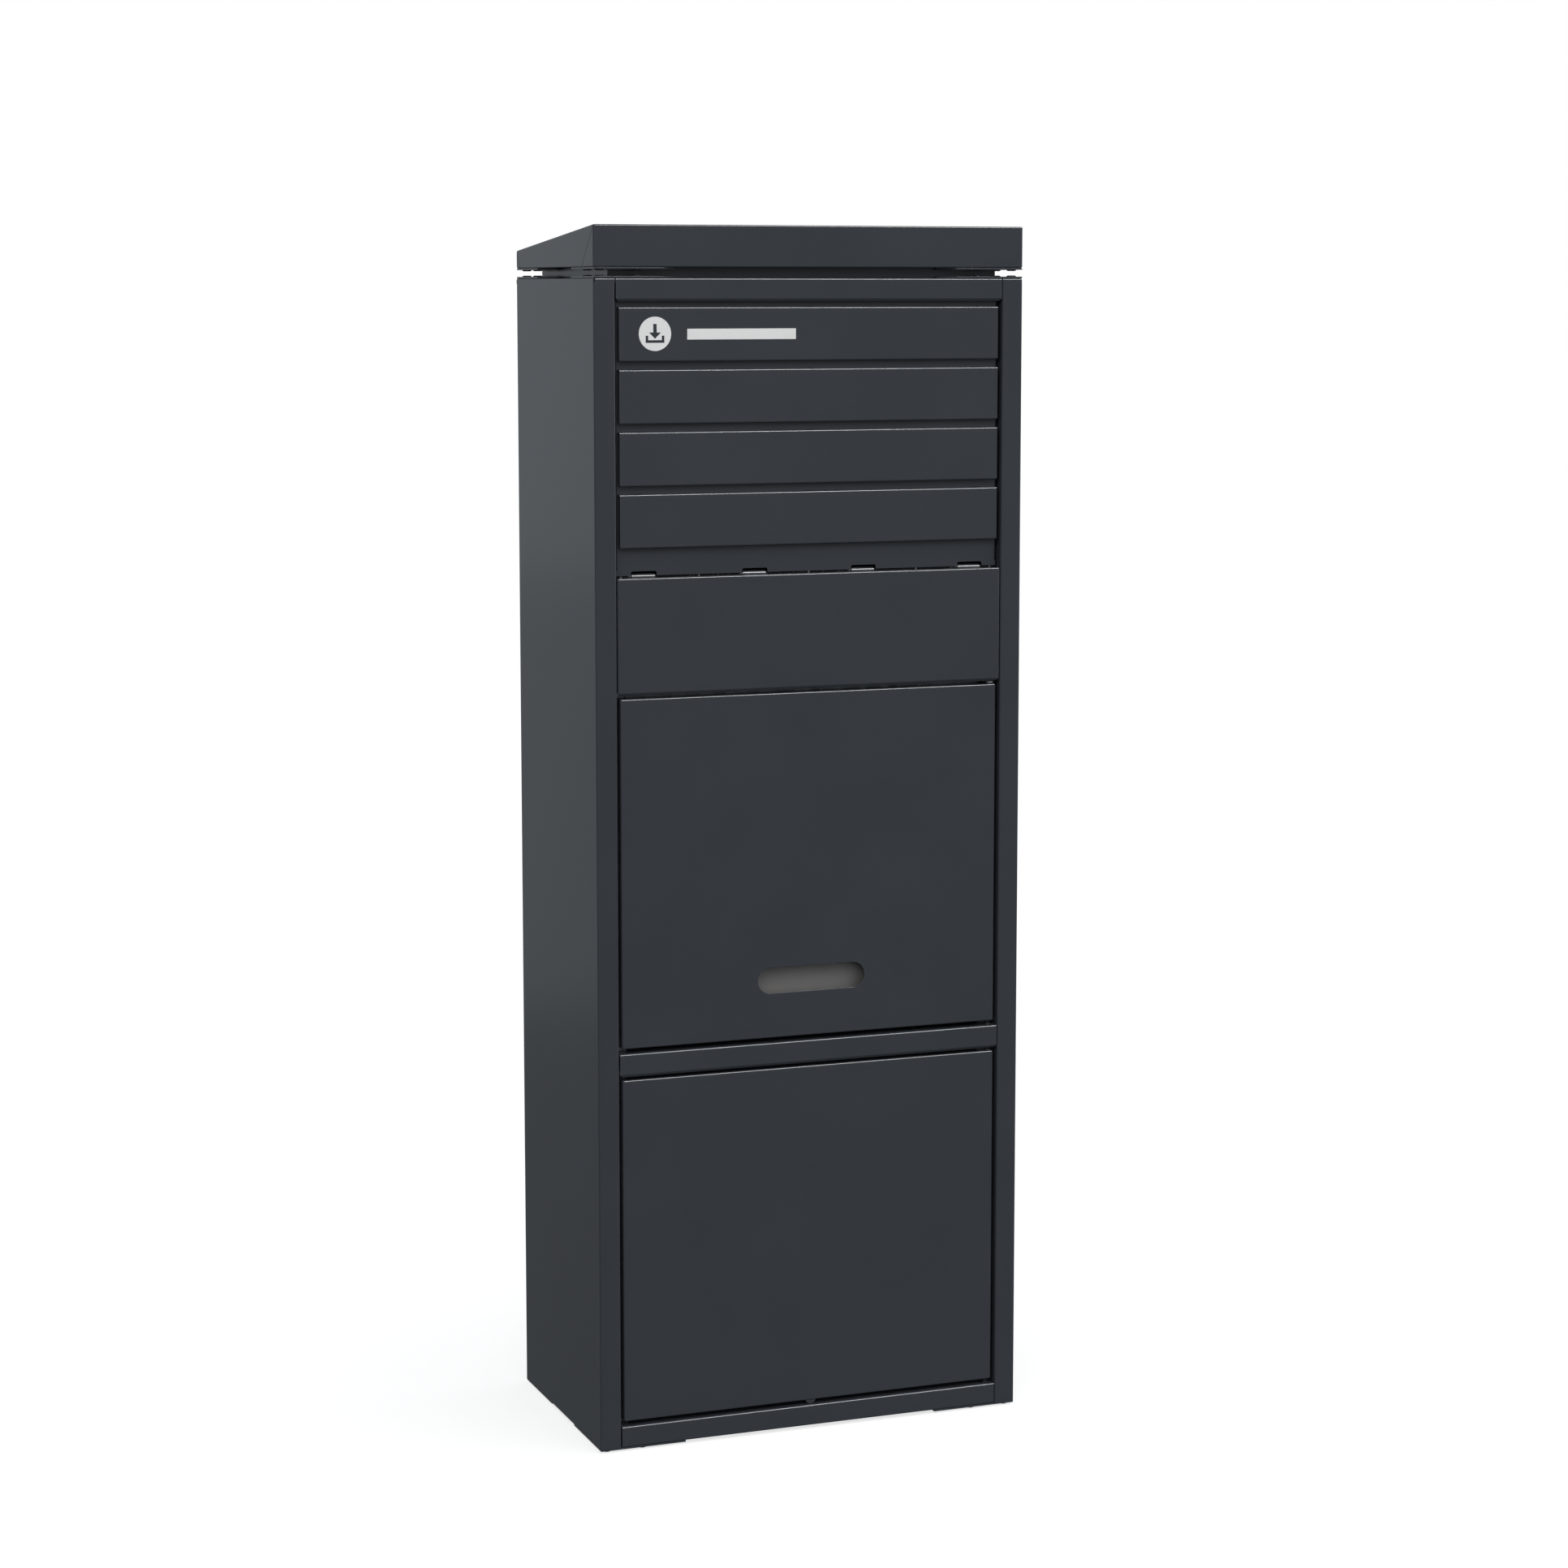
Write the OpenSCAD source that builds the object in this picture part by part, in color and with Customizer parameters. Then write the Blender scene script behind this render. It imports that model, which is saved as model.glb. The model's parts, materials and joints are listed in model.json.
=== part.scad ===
// Parcel locker: a folded sheet-steel cabinet with a slatted head panel, a top-hung drop flap,
// two right-hinged compartment doors, motor locks, an electronics bay and a raised sloping roof.
// Frame: X to the right, Y to the back, Z up; origin on the floor under the middle of the cabinet.
// Heights inside the modules are taken from the shell's bottom edge, which stands foot_h above the floor.

/* [Cabinet] */
// Width over the side panels
body_w = 520; // [500:1:560]
// Depth from the front plane to the back
body_d = 295; // [285:1:340]
// Height of the shell, without the feet and the roof
body_h = 1336.3; // [1334:0.1:1400]
// Height of the foot plates and their screw heads under the shell
foot_h = 4.5; // [4.5:0.5:8]
// Thickness of the sheet steel
sheet = 1.5; // [1.2:0.1:1.6]
// Outer radius of a fold in the sheet
fold_r = 2; // [1.8:0.1:2.5]
// Visible width of the front posts
post_w = 25; // [24:0.5:30]

/* [Front layout] */
// Height of the bottom rail
bottom_rail_h = 24.5; // [22:0.5:28]
// Gap under each door
door_gap = 5.3; // [5:0.1:6]
// Gap over each door
door_top_gap = 3.5; // [3.4:0.1:4]
// Height of each door
door_h = 400.4; // [380:0.2:404]
// Gap between a door and the posts
door_side_gap = 4.3; // [4:0.1:5]
// How far the doors' faces stand behind the front plane
door_recess = 2.3; // [2:0.1:3]
// Height of the middle rail's face
mid_rail_h = 24; // [22:0.5:28]
// Height of the drop flap over its lip
flap_h = 132.6; // [128:0.2:134]
// Height of the sloped lip under the rails and the flap
lip_h = 3.3; // [3:0.1:4]

/* [Slatted head] */
// Number of slats is four; this is the height of one
slat_h = 60.6; // [56:0.2:62]
// Distance from one slat to the next
slat_pitch = 69.35; // [66:0.05:70]
// How far the slats' faces stand behind the front plane
slat_recess = 1.8; // [1.5:0.1:2.5]
// How far the panel behind the slats stands behind the front plane
head_recess = 10; // [9:0.5:11]
// Width of the notches that the flap's knuckles pass through
notch_w = 30.5; // [30:0.5:34]
// Distance from one notch to the next
notch_pitch = 133; // [130:1:136]

/* [Pull slot] */
// Width of the pull slot in the middle door
slot_w = 132; // [110:1:150]
// Height of the pull slot
slot_h = 30; // [26:1:34]

/* [Roof] */
// Open gap between the shell and the roof skirt
roof_gap = 11.8; // [11:0.1:14]
// Height of the roof's front skirt
roof_front_h = 47.4; // [44:0.1:52]
// Height of the roof's back skirt
roof_back_h = 20.8; // [20:0.1:24]
// How far the neck stands back from the shell's faces
neck_inset = 24.2; // [24.1:0.1:25]

/* [Fixings] */
// Distance between the floor anchor holes, left to right
anchor_x = 360; // [320:5:380]
// Distance between the floor anchor holes, front to back
anchor_y = 170; // [140:5:180]
// Diameter of the floor anchor holes
anchor_d = 11; // [9:0.5:12]
// Distance between the wall holes, left to right
wall_x = 360; // [320:5:380]
// Height of the lower wall holes over the shell's bottom edge
wall_low = 300; // [250:5:350]
// Height of the upper wall holes
wall_high = 1250; // [1240:5:1280]
// Diameter of the wall holes
wall_d = 9; // [7:0.5:11]
// Bore of the cable grommet
grommet_bore = 8; // [6:0.5:10]

/* [Motion] */
// Pin radius of the door hinges
pin_r = 2.5; // [2.2:0.1:2.6]
// Running clearance between a pin and its hole
running = 0.05; // [0.03:0.01:0.08]

/* [Hidden] */
$fn = 40;

paint = "#383e42";
zinc = "#a3a7a8";
rubber = "#1c1d1e";
plastic = "#2b2d2f";
black_steel = "#2c2d2e";

half_w = body_w / 2;
front = -body_d / 2;
back = body_d / 2;
half_t = sheet / 2;
fold_mid_r = fold_r - half_t;
fold_steps = 5;
top_z = body_h;
inner_x = half_w - sheet;
post_x = half_w - post_w;
post_return = 20;
rail_x = post_x - 1;
rail_depth = 24;
flange = 20;
// Room left beside the inside of a fold
fold_room = 0.6;
pan_x = inner_x - fold_room;
pan_back = back - 2 * sheet - fold_room;

lower_door_z = bottom_rail_h + door_gap;
mid_rail_z = lower_door_z + door_h + door_top_gap;
mid_rail_top = mid_rail_z + lip_h + mid_rail_h;
middle_door_z = mid_rail_top + door_gap;
flap_z = middle_door_z + door_h + door_top_gap;
flap_top = flap_z + flap_h;
door_x = post_x - door_side_gap;
door_face = front + door_recess;
door_depth = 18;
door_back = door_face + door_depth;
liner_t = 1.2;
liner_back = door_back + liner_t;
relief = 2.6;
lip_run = 2.6;

head_face = front + head_recess;
head_x = post_x - 2.7;
head_z = flap_top + 2;
notch_h = 5;
slat_x = post_x - 5;
slat_top = 1304.4;
slat_face = front + slat_recess;
top_rail_lip = 1310;
badge_x = -188;
badge_z = slat_top - slat_h / 2 + 0.5;
film_t = 0.4;

strip_x = post_x - 16;
strip_y = front + post_return + 4;
seal_t = 2.2;
bay_z = flap_top + 12.5;
shelf_z = mid_rail_top - sheet;
controller_z = bay_z + 26;

hinge_x = door_x - 5.7;
hinge_y = front + 8.5;
bush_wall = 1.1;
rod_y = front + 15.5;
rod_z = flap_top;
rod_r = 2.5;
knuckle_w = 28;

lock_mid_z = middle_door_z + door_h / 2;
lock_low_z = lower_door_z + door_h / 2;
bolt_r = 4;
bolt_y = -107;
lock_front = -120;
lock_back = -86;
pusher_z = lock_low_z + 80;
pusher_x = -205;
pusher_r = 5;

rivet_r = 2.4;
plate_t = 2;
plate_w = 22;
plate_leg = 103;
plate_inset = 0.5;
screw_near = 10;
screw_far = 53;
roof_z = body_h + roof_gap;

slot_z = middle_door_z + 67.4;
cable_r = 2.5;
cable_x = -245;
cable_y = 115;
cable_down_x = -120;
cable_hole_r = 6;
grommet_x = 190;
grommet_z = bay_z + 60;
grommet_r = 11;

// ---- Helpers ----

function unit(v) = v / norm(v);
function left_of(v) = [-v[1], v[0]];
function turn(a, b) = atan2(a[0] * b[1] - a[1] * b[0], a[0] * b[0] + a[1] * b[1]);
function spin(v, a) = [v[0] * cos(a) - v[1] * sin(a), v[0] * sin(a) + v[1] * cos(a)];
function backwards(list) = [for (i = [len(list) - 1 : -1 : 0]) list[i]];

// The points of one face of a folded sheet: o to the left of its middle line, with round folds
function face_of(path, o) = concat(
    [path[0] + o * left_of(unit(path[1] - path[0]))],
    [for (i = [1 : len(path) - 2])
        let (d = unit(path[i] - path[i - 1]),
             a = turn(d, unit(path[i + 1] - path[i])),
             s = sign(a),
             c = path[i] - d * fold_mid_r * tan(abs(a) / 2) + s * fold_mid_r * left_of(d))
        for (k = [0 : fold_steps]) c + spin((o - s * fold_mid_r) * left_of(d), a * k / fold_steps)],
    [path[len(path) - 1] + o * left_of(unit(path[len(path) - 1] - path[len(path) - 2]))]);

// A folded sheet's section, from its middle line
module folded(path) polygon(concat(face_of(path, half_t), backwards(face_of(path, -half_t))));

module up() translate([0, 0, foot_h]) children();
module block(lo, hi) translate(lo) cube(hi - lo);
module along_x(x0, x1) translate([x0, 0, 0]) rotate([90, 0, 90]) linear_extrude(x1 - x0) children();
module along_y(y0, y1) translate([0, y1, 0]) rotate([90, 0, 0]) linear_extrude(y1 - y0) children();
module along_z(z0, z1) translate([0, 0, z0]) linear_extrude(z1 - z0) children();
module rod_along_x(x0, x1, y, z, r)
    translate([x0, y, z]) rotate([0, 90, 0]) cylinder(h = x1 - x0, r = r);
module rod_along_y(y0, y1, x, z, r)
    translate([x, y0, z]) rotate([-90, 0, 0]) cylinder(h = y1 - y0, r = r);
module rod_along_z(z0, z1, x, y, r)
    translate([x, y, z0]) cylinder(h = z1 - z0, r = r);
module both_sides() {
    children();
    mirror([1, 0, 0]) children();
}

// Puts a child at each corner, turned to face the middle
module at_corners() {
    for (x = [0, 1], y = [0, 1])
        mirror([x, 0, 0]) mirror([0, y, 0])
            translate([-half_w, front, 0]) children();
}

// The three screw places of one corner plate, measured from the shell's corner
module at_plate_screws() {
    for (p = [[screw_near, screw_near], [screw_far, screw_near], [screw_near, screw_far]])
        translate([p[0], p[1], 0]) children();
}

module plate_screw_holes(z0, z1) {
    at_corners() at_plate_screws() translate([0, 0, z0]) cylinder(h = z1 - z0, r = 3);
}

// A rail: face, top return and a sloped lip with a return under it
module rail(z0, z1, lip_depth) {
    difference() {
        along_x(-rail_x, rail_x) folded([
            [front + rail_depth, z1 - half_t],
            [front + half_t, z1 - half_t],
            [front + half_t, z0 + lip_h],
            [front + half_t + lip_run, z0 + half_t],
            [front + lip_depth, z0 + half_t]]);
        lip_mitres(z0);
    }
}

// Cuts the ends of a sloped lip at 45 degrees
module lip_mitres(z0) {
    both_sides() translate([rail_x, front - 1, z0 + lip_h + 0.4]) rotate([0, 45, 0])
        cube([12, 20, 12]);
}

// A door or flap skin: face with folded sides, and open reliefs at its corners
module door_skin(z0) {
    along_x(-door_x + relief, door_x - relief) folded([
        [door_back, z0 + door_h - half_t],
        [door_face + half_t, z0 + door_h - half_t],
        [door_face + half_t, z0 + half_t],
        [door_back, z0 + half_t]]);
    along_z(z0 + relief, z0 + door_h - relief) folded([
        [-door_x + half_t, door_back],
        [-door_x + half_t, door_face + half_t],
        [door_x - half_t, door_face + half_t],
        [door_x - half_t, door_back]]);
}

// Holes for the two hinge bushes of a door
module bush_holes(z0) {
    rod_along_z(z0 - 1, z0 + 3, hinge_x, hinge_y, pin_r + bush_wall);
    rod_along_z(z0 + door_h - 3, z0 + door_h + 1, hinge_x, hinge_y, pin_r + bush_wall);
}

// ---- Shell ----

module side_panel() {
    m = half_t;
    difference() {
        union() {
            along_z(0, top_z - 2 * fold_r) folded([
                [-post_x - m, front + post_return],
                [-post_x - m, front + m],
                [-half_w + m, front + m],
                [-half_w + m, back - m],
                [-half_w + 16, back - m]]);
            // Top flanges of the side and of the post, with a small relief at the corner
            along_y(front + fold_r, back) folded([
                [-half_w + m, top_z - 3 * fold_r],
                [-half_w + m, top_z - m],
                [-half_w + flange, top_z - m]]);
            along_x(-half_w + fold_r, -post_x) folded([
                [front + m, top_z - 3 * fold_r],
                [front + m, top_z - m],
                [front + flange, top_z - m]]);
        }
        plate_screw_holes(top_z - 3, top_z + 1);
        rivet_places() cylinder(h = 8, r = rivet_r, center = true);
    }
}

module left_side_panel() color(paint) up() side_panel();
module right_side_panel() color(paint) up() mirror([1, 0, 0]) side_panel();

module back_panel() {
    color(paint) up() difference() {
        union() {
            block([-pan_x, back - 2 * sheet, 0], [pan_x, back - sheet, top_z - 2 * sheet]);
            along_x(-half_w + flange + 0.3, half_w - flange - 0.3) folded([
                [back - sheet - half_t, top_z - 6],
                [back - sheet - half_t, top_z - half_t],
                [back - 26, top_z - half_t]]);
        }
        for (x = [-wall_x / 2, wall_x / 2], z = [wall_low, wall_high])
            rod_along_y(back - 4, back, x, z, wall_d / 2);
        rod_along_y(back - 4, back, grommet_x, grommet_z, grommet_r);
        plate_screw_holes(top_z - 3, top_z + 1);
        rivet_places() cylinder(h = 8, r = rivet_r, center = true);
    }
}

module base_pan() {
    lip = 18;
    color(zinc) up() difference() {
        union() {
            block([-inner_x, strip_y + 2, 0], [inner_x, back - 2 * sheet, sheet]);
            block([-rail_x + 1, front + 15.2, 0], [rail_x - 1, strip_y + 2, sheet]);
            both_sides() {
                block([post_x + 2, front + 2, 0], [inner_x, strip_y + 2, sheet]);
                block([inner_x - sheet, strip_y + 2, 0], [inner_x, back - 2 * sheet, lip]);
            }
            block([-inner_x, back - 3 * sheet, 0], [inner_x, back - 2 * sheet, lip]);
        }
        for (x = [-anchor_x / 2, anchor_x / 2], y = [-anchor_y / 2, anchor_y / 2])
            rod_along_z(-1, sheet + 1, x, y, anchor_d / 2);
        plate_screw_holes(-1, sheet + 1);
    }
}

module top_panel() {
    color(zinc) up() difference() {
        union() {
            block([-pan_x, strip_y + 2, top_z - 2 * sheet], [pan_x, pan_back, top_z - sheet]);
            block([-rail_x + 1, front + 3, top_z - 2 * sheet], [rail_x - 1, strip_y + 2, top_z - sheet]);
            both_sides()
                block([post_x + 2, front + 3, top_z - 2 * sheet], [pan_x, strip_y + 2, top_z - sheet]);
        }
        plate_screw_holes(top_z - 4, top_z);
    }
}

module top_rail() {
    color(paint) up() difference() {
        rail(top_rail_lip, top_z, head_recess - 0.3);
        plate_screw_holes(top_z - 3, top_z + 1);
    }
}

module mid_rail() {
    color(paint) up() difference() {
        rail(mid_rail_z, mid_rail_top, 15);
        rod_along_z(mid_rail_z - 1, mid_rail_top + 1, hinge_x, hinge_y, pin_r + 0.1);
    }
}

module bottom_rail() {
    color(paint) up() difference() {
        along_x(-rail_x, rail_x) folded([
            [front + rail_depth, bottom_rail_h - half_t],
            [front + half_t, bottom_rail_h - half_t],
            [front + half_t, half_t],
            [front + 15, half_t]]);
        rod_along_z(bottom_rail_h - 3, bottom_rail_h + 1, hinge_x, hinge_y, pin_r + 0.1);
        plate_screw_holes(-1, sheet + 1);
    }
}

// ---- Slatted head ----

// Tabs of slat number i, in line with the slots in the panel behind
module slat_tabs(i, grow = 0) {
    z = slat_top - i * slat_pitch - half_t;
    half_tab = 5 + grow;
    half_h = half_t + grow;
    for (x = [-206, 0, 206])
        block([x - half_tab, head_face - 2, z - half_h], [x + half_tab, head_face + 2.5, z + half_h]);
}

module head_panel() {
    head_depth = 15.5;
    color(paint) up() difference() {
        union() {
            along_z(head_z + 6, top_z - 6) folded([
                [-head_x + half_t, head_face + head_depth],
                [-head_x + half_t, head_face + half_t],
                [head_x - half_t, head_face + half_t],
                [head_x - half_t, head_face + head_depth]]);
            block([-head_x, head_face, head_z], [head_x, head_face + sheet, head_z + 6]);
        }
        for (i = [0 : 3]) slat_tabs(i, 0.2);
        for (i = [-1.5 : 1 : 1.5]) translate([i * notch_pitch, 0, head_z]) knuckle_notch();
    }
}

// The notch with round upper corners that a knuckle of the flap passes through
module knuckle_notch() {
    corner_r = 2;
    half = notch_w / 2;
    through = [head_face - 1, head_face + 3];
    block([-half, through[0], -1], [half, through[1], notch_h - corner_r]);
    block([-half + corner_r, through[0], 0], [half - corner_r, through[1], notch_h]);
    for (x = [-half + corner_r, half - corner_r])
        rod_along_y(through[0], through[1], x, notch_h - corner_r, corner_r);
}

module slat(i) {
    z = slat_top - i * slat_pitch;
    color(paint) up() {
        along_x(-slat_x, slat_x) folded([
            [head_face, z - half_t],
            [slat_face + half_t, z - half_t],
            [slat_face + half_t, z - slat_h + half_t],
            [slat_face + 4.5, z - slat_h + half_t]]);
        slat_tabs(i);
    }
}

// A round badge: a tray with an arrow pointing down into it, cut out of a light disc
module parcel_badge() {
    badge_r = 19;
    tray = [22, 8, 3];
    color("white") up() translate([badge_x, 0, badge_z])
        along_y(slat_face - film_t, slat_face) difference() {
            circle(r = badge_r, $fn = 64);
            // Arrow
            translate([-2, 0]) square([4, 11]);
            polygon([[-7, 1.5], [7, 1.5], [0, -5.5]]);
            // Tray: width, height of its walls and their thickness
            translate([-tray[0] / 2, -10]) difference() {
                square([tray[0], tray[1]]);
                translate([tray[2], tray[2]]) square([tray[0] - 2 * tray[2], tray[1]]);
            }
        }
}

module name_strip() {
    strip_h = 12;
    color("white") up()
        block([badge_x + 38, slat_face - film_t, badge_z - strip_h / 2 - 0.5],
            [badge_x + 168, slat_face, badge_z + strip_h / 2 - 0.5]);
}

// ---- Inner shell ----

// A shelf between the side panels, with flanges turned down beside them
module shelf(top, nose_x, nose_y) {
    block([-inner_x, strip_y + 2, top - sheet], [inner_x, back - 2 * sheet, top]);
    block([-nose_x, nose_y, top - sheet], [nose_x, strip_y + 2, top]);
    both_sides() block([inner_x - sheet, strip_y + 2, top - 16], [inner_x, back - 2 * sheet - 10, top]);
}

module bay_floor() {
    color(zinc) up() difference() {
        shelf(bay_z + sheet, head_x - sheet - 0.3, front + 13.5);
        rod_along_z(bay_z - 1, bay_z + 3, cable_down_x, cable_y, cable_hole_r);
    }
}

module mid_shelf() {
    color(zinc) up() difference() {
        shelf(shelf_z, strip_x - 1, front + 13.5);
        rod_along_z(shelf_z - 3, shelf_z + 1, cable_x, cable_y, cable_hole_r);
    }
}

module stop_strip() {
    along_z(sheet, head_z - 8) folded([
        [-strip_x, strip_y + half_t],
        [-post_x - sheet - half_t, strip_y + half_t],
        [-post_x - sheet - half_t, front + 6]]);
}

module stop_strip_left() color(zinc) up() stop_strip();
module stop_strip_right() color(zinc) up() mirror([1, 0, 0]) stop_strip();

// Sill behind the flap and the slope that letters slide down
module drop_chute() {
    sill_top = flap_z + 18;
    reach = 60;
    fall = 82;
    color(zinc) up() {
        along_x(-strip_x + 1, strip_x - 1) folded([
            [strip_y + half_t, flap_z - 18],
            [strip_y + half_t, sill_top],
            [reach, sill_top - fall],
            [reach, sill_top - fall - 14]]);
        // Wings that carry the slope on the side panels
        both_sides() along_x(strip_x - 1, inner_x) folded([
            [strip_y + 12, sill_top - fall * 12 / (reach - strip_y)],
            [reach / 2 - 10, sill_top - fall * (reach / 2 - 10 - strip_y) / (reach - strip_y)],
            [reach, sill_top - fall]]);
    }
}

// ---- Drop flap ----

module flap_skin() {
    side_top = flap_top - 13;
    color(paint) up() difference() {
        union() {
            along_x(-rail_x + relief, rail_x - relief) folded([
                [front + 5, flap_top - half_t],
                [front + half_t, flap_top - half_t],
                [front + half_t, flap_z + lip_h],
                [front + half_t + lip_run, flap_z + half_t],
                [front + 10, flap_z + half_t]]);
            along_z(flap_z + lip_h + 0.5, flap_top - relief) folded([
                [-rail_x + half_t, front + 4.5],
                [-rail_x + half_t, front + half_t],
                [rail_x - half_t, front + half_t],
                [rail_x - half_t, front + 4.5]]);
            along_z(flap_z + lip_h + 4, side_top) folded([
                [-rail_x + half_t, front + 14],
                [-rail_x + half_t, front + half_t],
                [rail_x - half_t, front + half_t],
                [rail_x - half_t, front + 14]]);
        }
        lip_mitres(flap_z);
    }
}

module flap_knuckles() {
    eye_r = rod_r + 1.7;
    color(paint) up() for (i = [-1.5 : 1 : 1.5]) translate([i * notch_pitch, 0, 0]) difference() {
        union() {
            block([-knuckle_w / 2, front + 2.5, flap_top - 2 * sheet],
                [knuckle_w / 2, rod_y, flap_top - sheet]);
            rod_along_x(-knuckle_w / 2, knuckle_w / 2, rod_y, rod_z, eye_r);
        }
        rod_along_x(-knuckle_w, knuckle_w, rod_y, rod_z, rod_r + running);
    }
}

module flap_rod() color(black_steel) up() rod_along_x(-head_x + 1, head_x - 1, rod_y, rod_z, rod_r);

module flap_rod_brackets() {
    plate = 2;
    foot = 9;
    color(zinc) up() for (x = [-226, -notch_pitch, 0, notch_pitch, 226]) difference() {
        union() {
            block([x - plate / 2, head_face + 2.2, flap_top - 6], [x + plate / 2, strip_y, bay_z]);
            // The foot under the bay floor points to the middle
            block([min(x - plate / 2, x - foot * sign(x)), head_face + 5, bay_z - plate],
                [max(x + plate / 2, x - foot * sign(x)), strip_y, bay_z]);
        }
        rod_along_x(x - foot, x + foot, rod_y, rod_z, rod_r + 0.1);
    }
}

module flap_buffers() {
    buffer_r = 5.5;
    color(rubber) up() for (x = [-180, 180])
        rod_along_y(front + sheet + 0.3, strip_y, x, flap_z + lip_h + 1.7 + buffer_r, buffer_r);
}

// ---- Doors ----

module slot_outline() {
    square([slot_w - slot_h, slot_h], center = true);
    for (x = [-1, 1]) translate([x * (slot_w - slot_h) / 2, 0]) circle(d = slot_h, $fn = 64);
}

module middle_door_skin() {
    color(paint) up() difference() {
        door_skin(middle_door_z);
        translate([0, 0, slot_z]) along_y(door_face - 1, door_face + sheet + 1) slot_outline();
        bush_holes(middle_door_z);
    }
}

module lower_door_skin() {
    color(paint) up() difference() {
        door_skin(lower_door_z);
        bush_holes(lower_door_z);
    }
}

module door_liner(z0) block([-door_x + 4, door_back, z0 + 4], [door_x - 4, liner_back, z0 + door_h - 4]);
module middle_door_liner() color(zinc) up() door_liner(middle_door_z);
module lower_door_liner() color(zinc) up() door_liner(lower_door_z);

// The tray behind the pull slot, with room for fingers above it
module finger_cup() {
    wall = 2;
    x = slot_w / 2 + 18;
    low = slot_z - slot_h / 2 - 8;
    high = slot_z + slot_h / 2 + 26;
    color("#6b6763") up() difference() {
        block([-x, door_face + sheet, low], [x, door_back, high]);
        block([-x + wall, door_face, low + wall], [x - wall, door_back - wall, high - wall]);
    }
}

module door_seal(z0) {
    band = 4.5;
    edge = 7;
    x = strip_x + 5;
    low = z0 + edge;
    high = z0 + door_h - edge;
    difference() {
        block([-x, liner_back, low], [x, liner_back + seal_t, high]);
        block([-x + band, liner_back - 1, low + band], [x - band, liner_back + seal_t + 1, high - band]);
    }
}
module middle_door_seal() color(rubber) up() door_seal(middle_door_z);
module lower_door_seal() color(rubber) up() door_seal(lower_door_z);

// Flanged bushes in the two returns that a door turns on
module door_bushes(z0) {
    flange_t = 0.9;
    for (end = [0, 1])
        translate([hinge_x, hinge_y, z0 + end * door_h]) mirror([0, 0, end]) difference() {
            union() {
                cylinder(h = 5, r = pin_r + bush_wall);
                translate([0, 0, -flange_t]) cylinder(h = flange_t, r = pin_r + 2);
            }
            translate([0, 0, -2]) cylinder(h = 8, r = pin_r + running);
        }
}
module middle_door_bushes() color(plastic) up() door_bushes(middle_door_z);
module lower_door_bushes() color(plastic) up() door_bushes(lower_door_z);

// The half-round tab that the lower door is drawn open by if the lock has no power
module pull_tab() {
    tab_w = 14;
    color(paint) up() translate([0, 0, lower_door_z]) {
        intersection() {
            translate([0, 0, 2.2]) along_y(door_face + 1.6, door_face + 3.1) circle(d = tab_w);
            block([-tab_w, door_face, -5], [tab_w, door_face + 5, 0]);
        }
        block([-5, door_face + 1.6, -sheet], [5, door_face + 12, 0]);
    }
}

// A striker plate with an eye, standing back from a door's liner
module striker(z) {
    difference() {
        union() {
            block([-216, liner_back, z - 14], [-213, -98, z + 14]);
            block([-216, liner_back, z - 14], [-200, liner_back + 2, z + 14]);
        }
        rod_along_x(-220, -210, bolt_y, z, bolt_r + 1);
    }
}
module middle_striker() color(zinc) up() striker(lock_mid_z);
module lower_striker() color(zinc) up() striker(lock_low_z);

// ---- Hinges on the shell ----

module hinge_pins() {
    color(black_steel) up() {
        rod_along_z(bottom_rail_h - 8, lower_door_z + 8, hinge_x, hinge_y, pin_r);
        rod_along_z(lower_door_z + door_h - 8, mid_rail_z + 8, hinge_x, hinge_y, pin_r);
        rod_along_z(mid_rail_top - 8, middle_door_z + 8, hinge_x, hinge_y, pin_r);
        rod_along_z(middle_door_z + door_h - 8, middle_door_z + door_h + 2.7, hinge_x, hinge_y, pin_r);
    }
}

module hinge_washers() {
    color(black_steel) up() for (z = [bottom_rail_h, mid_rail_top]) difference() {
        rod_along_z(z, z + 1.5, hinge_x, hinge_y, 5);
        rod_along_z(z - 1, z + 3, hinge_x, hinge_y, pin_r + 0.1);
    }
}

module top_hinge_bracket() {
    z = middle_door_z + door_h + 1.2;
    color(zinc) up() difference() {
        union() {
            block([hinge_x - 5, hinge_y, z], [hinge_x + 5, strip_y, z + sheet]);
            rod_along_z(z, z + sheet, hinge_x, hinge_y, 5);
            block([hinge_x - 5, strip_y - sheet, z], [hinge_x + 5, strip_y, z + 14]);
        }
        rod_along_z(z - 1, z + 3, hinge_x, hinge_y, pin_r + 0.1);
    }
}

// ---- Locks ----

// A motor lock on the left side panel: the striker enters its mouth and the bolt crosses it
module lock_body(z) {
    difference() {
        block([-inner_x, lock_front, z - 32], [-205, lock_back, z + 32]);
        block([-220.5, lock_front - 1, z - 18], [-210.5, lock_back - 6, z + 18]);
        rod_along_x(-240, -219, bolt_y, z, bolt_r + running);
        rod_along_x(-212, -206.5, bolt_y, z, bolt_r + 0.3);
    }
}
module lock_bolt(z) rod_along_x(-235, -221, bolt_y, z, bolt_r);
module middle_lock_body() color(plastic) up() lock_body(lock_mid_z);
module lower_lock_body() color(plastic) up() lock_body(lock_low_z);
module middle_lock_bolt() color(zinc) up() lock_bolt(lock_mid_z);
module lower_lock_bolt() color(zinc) up() lock_bolt(lock_low_z);

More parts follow.
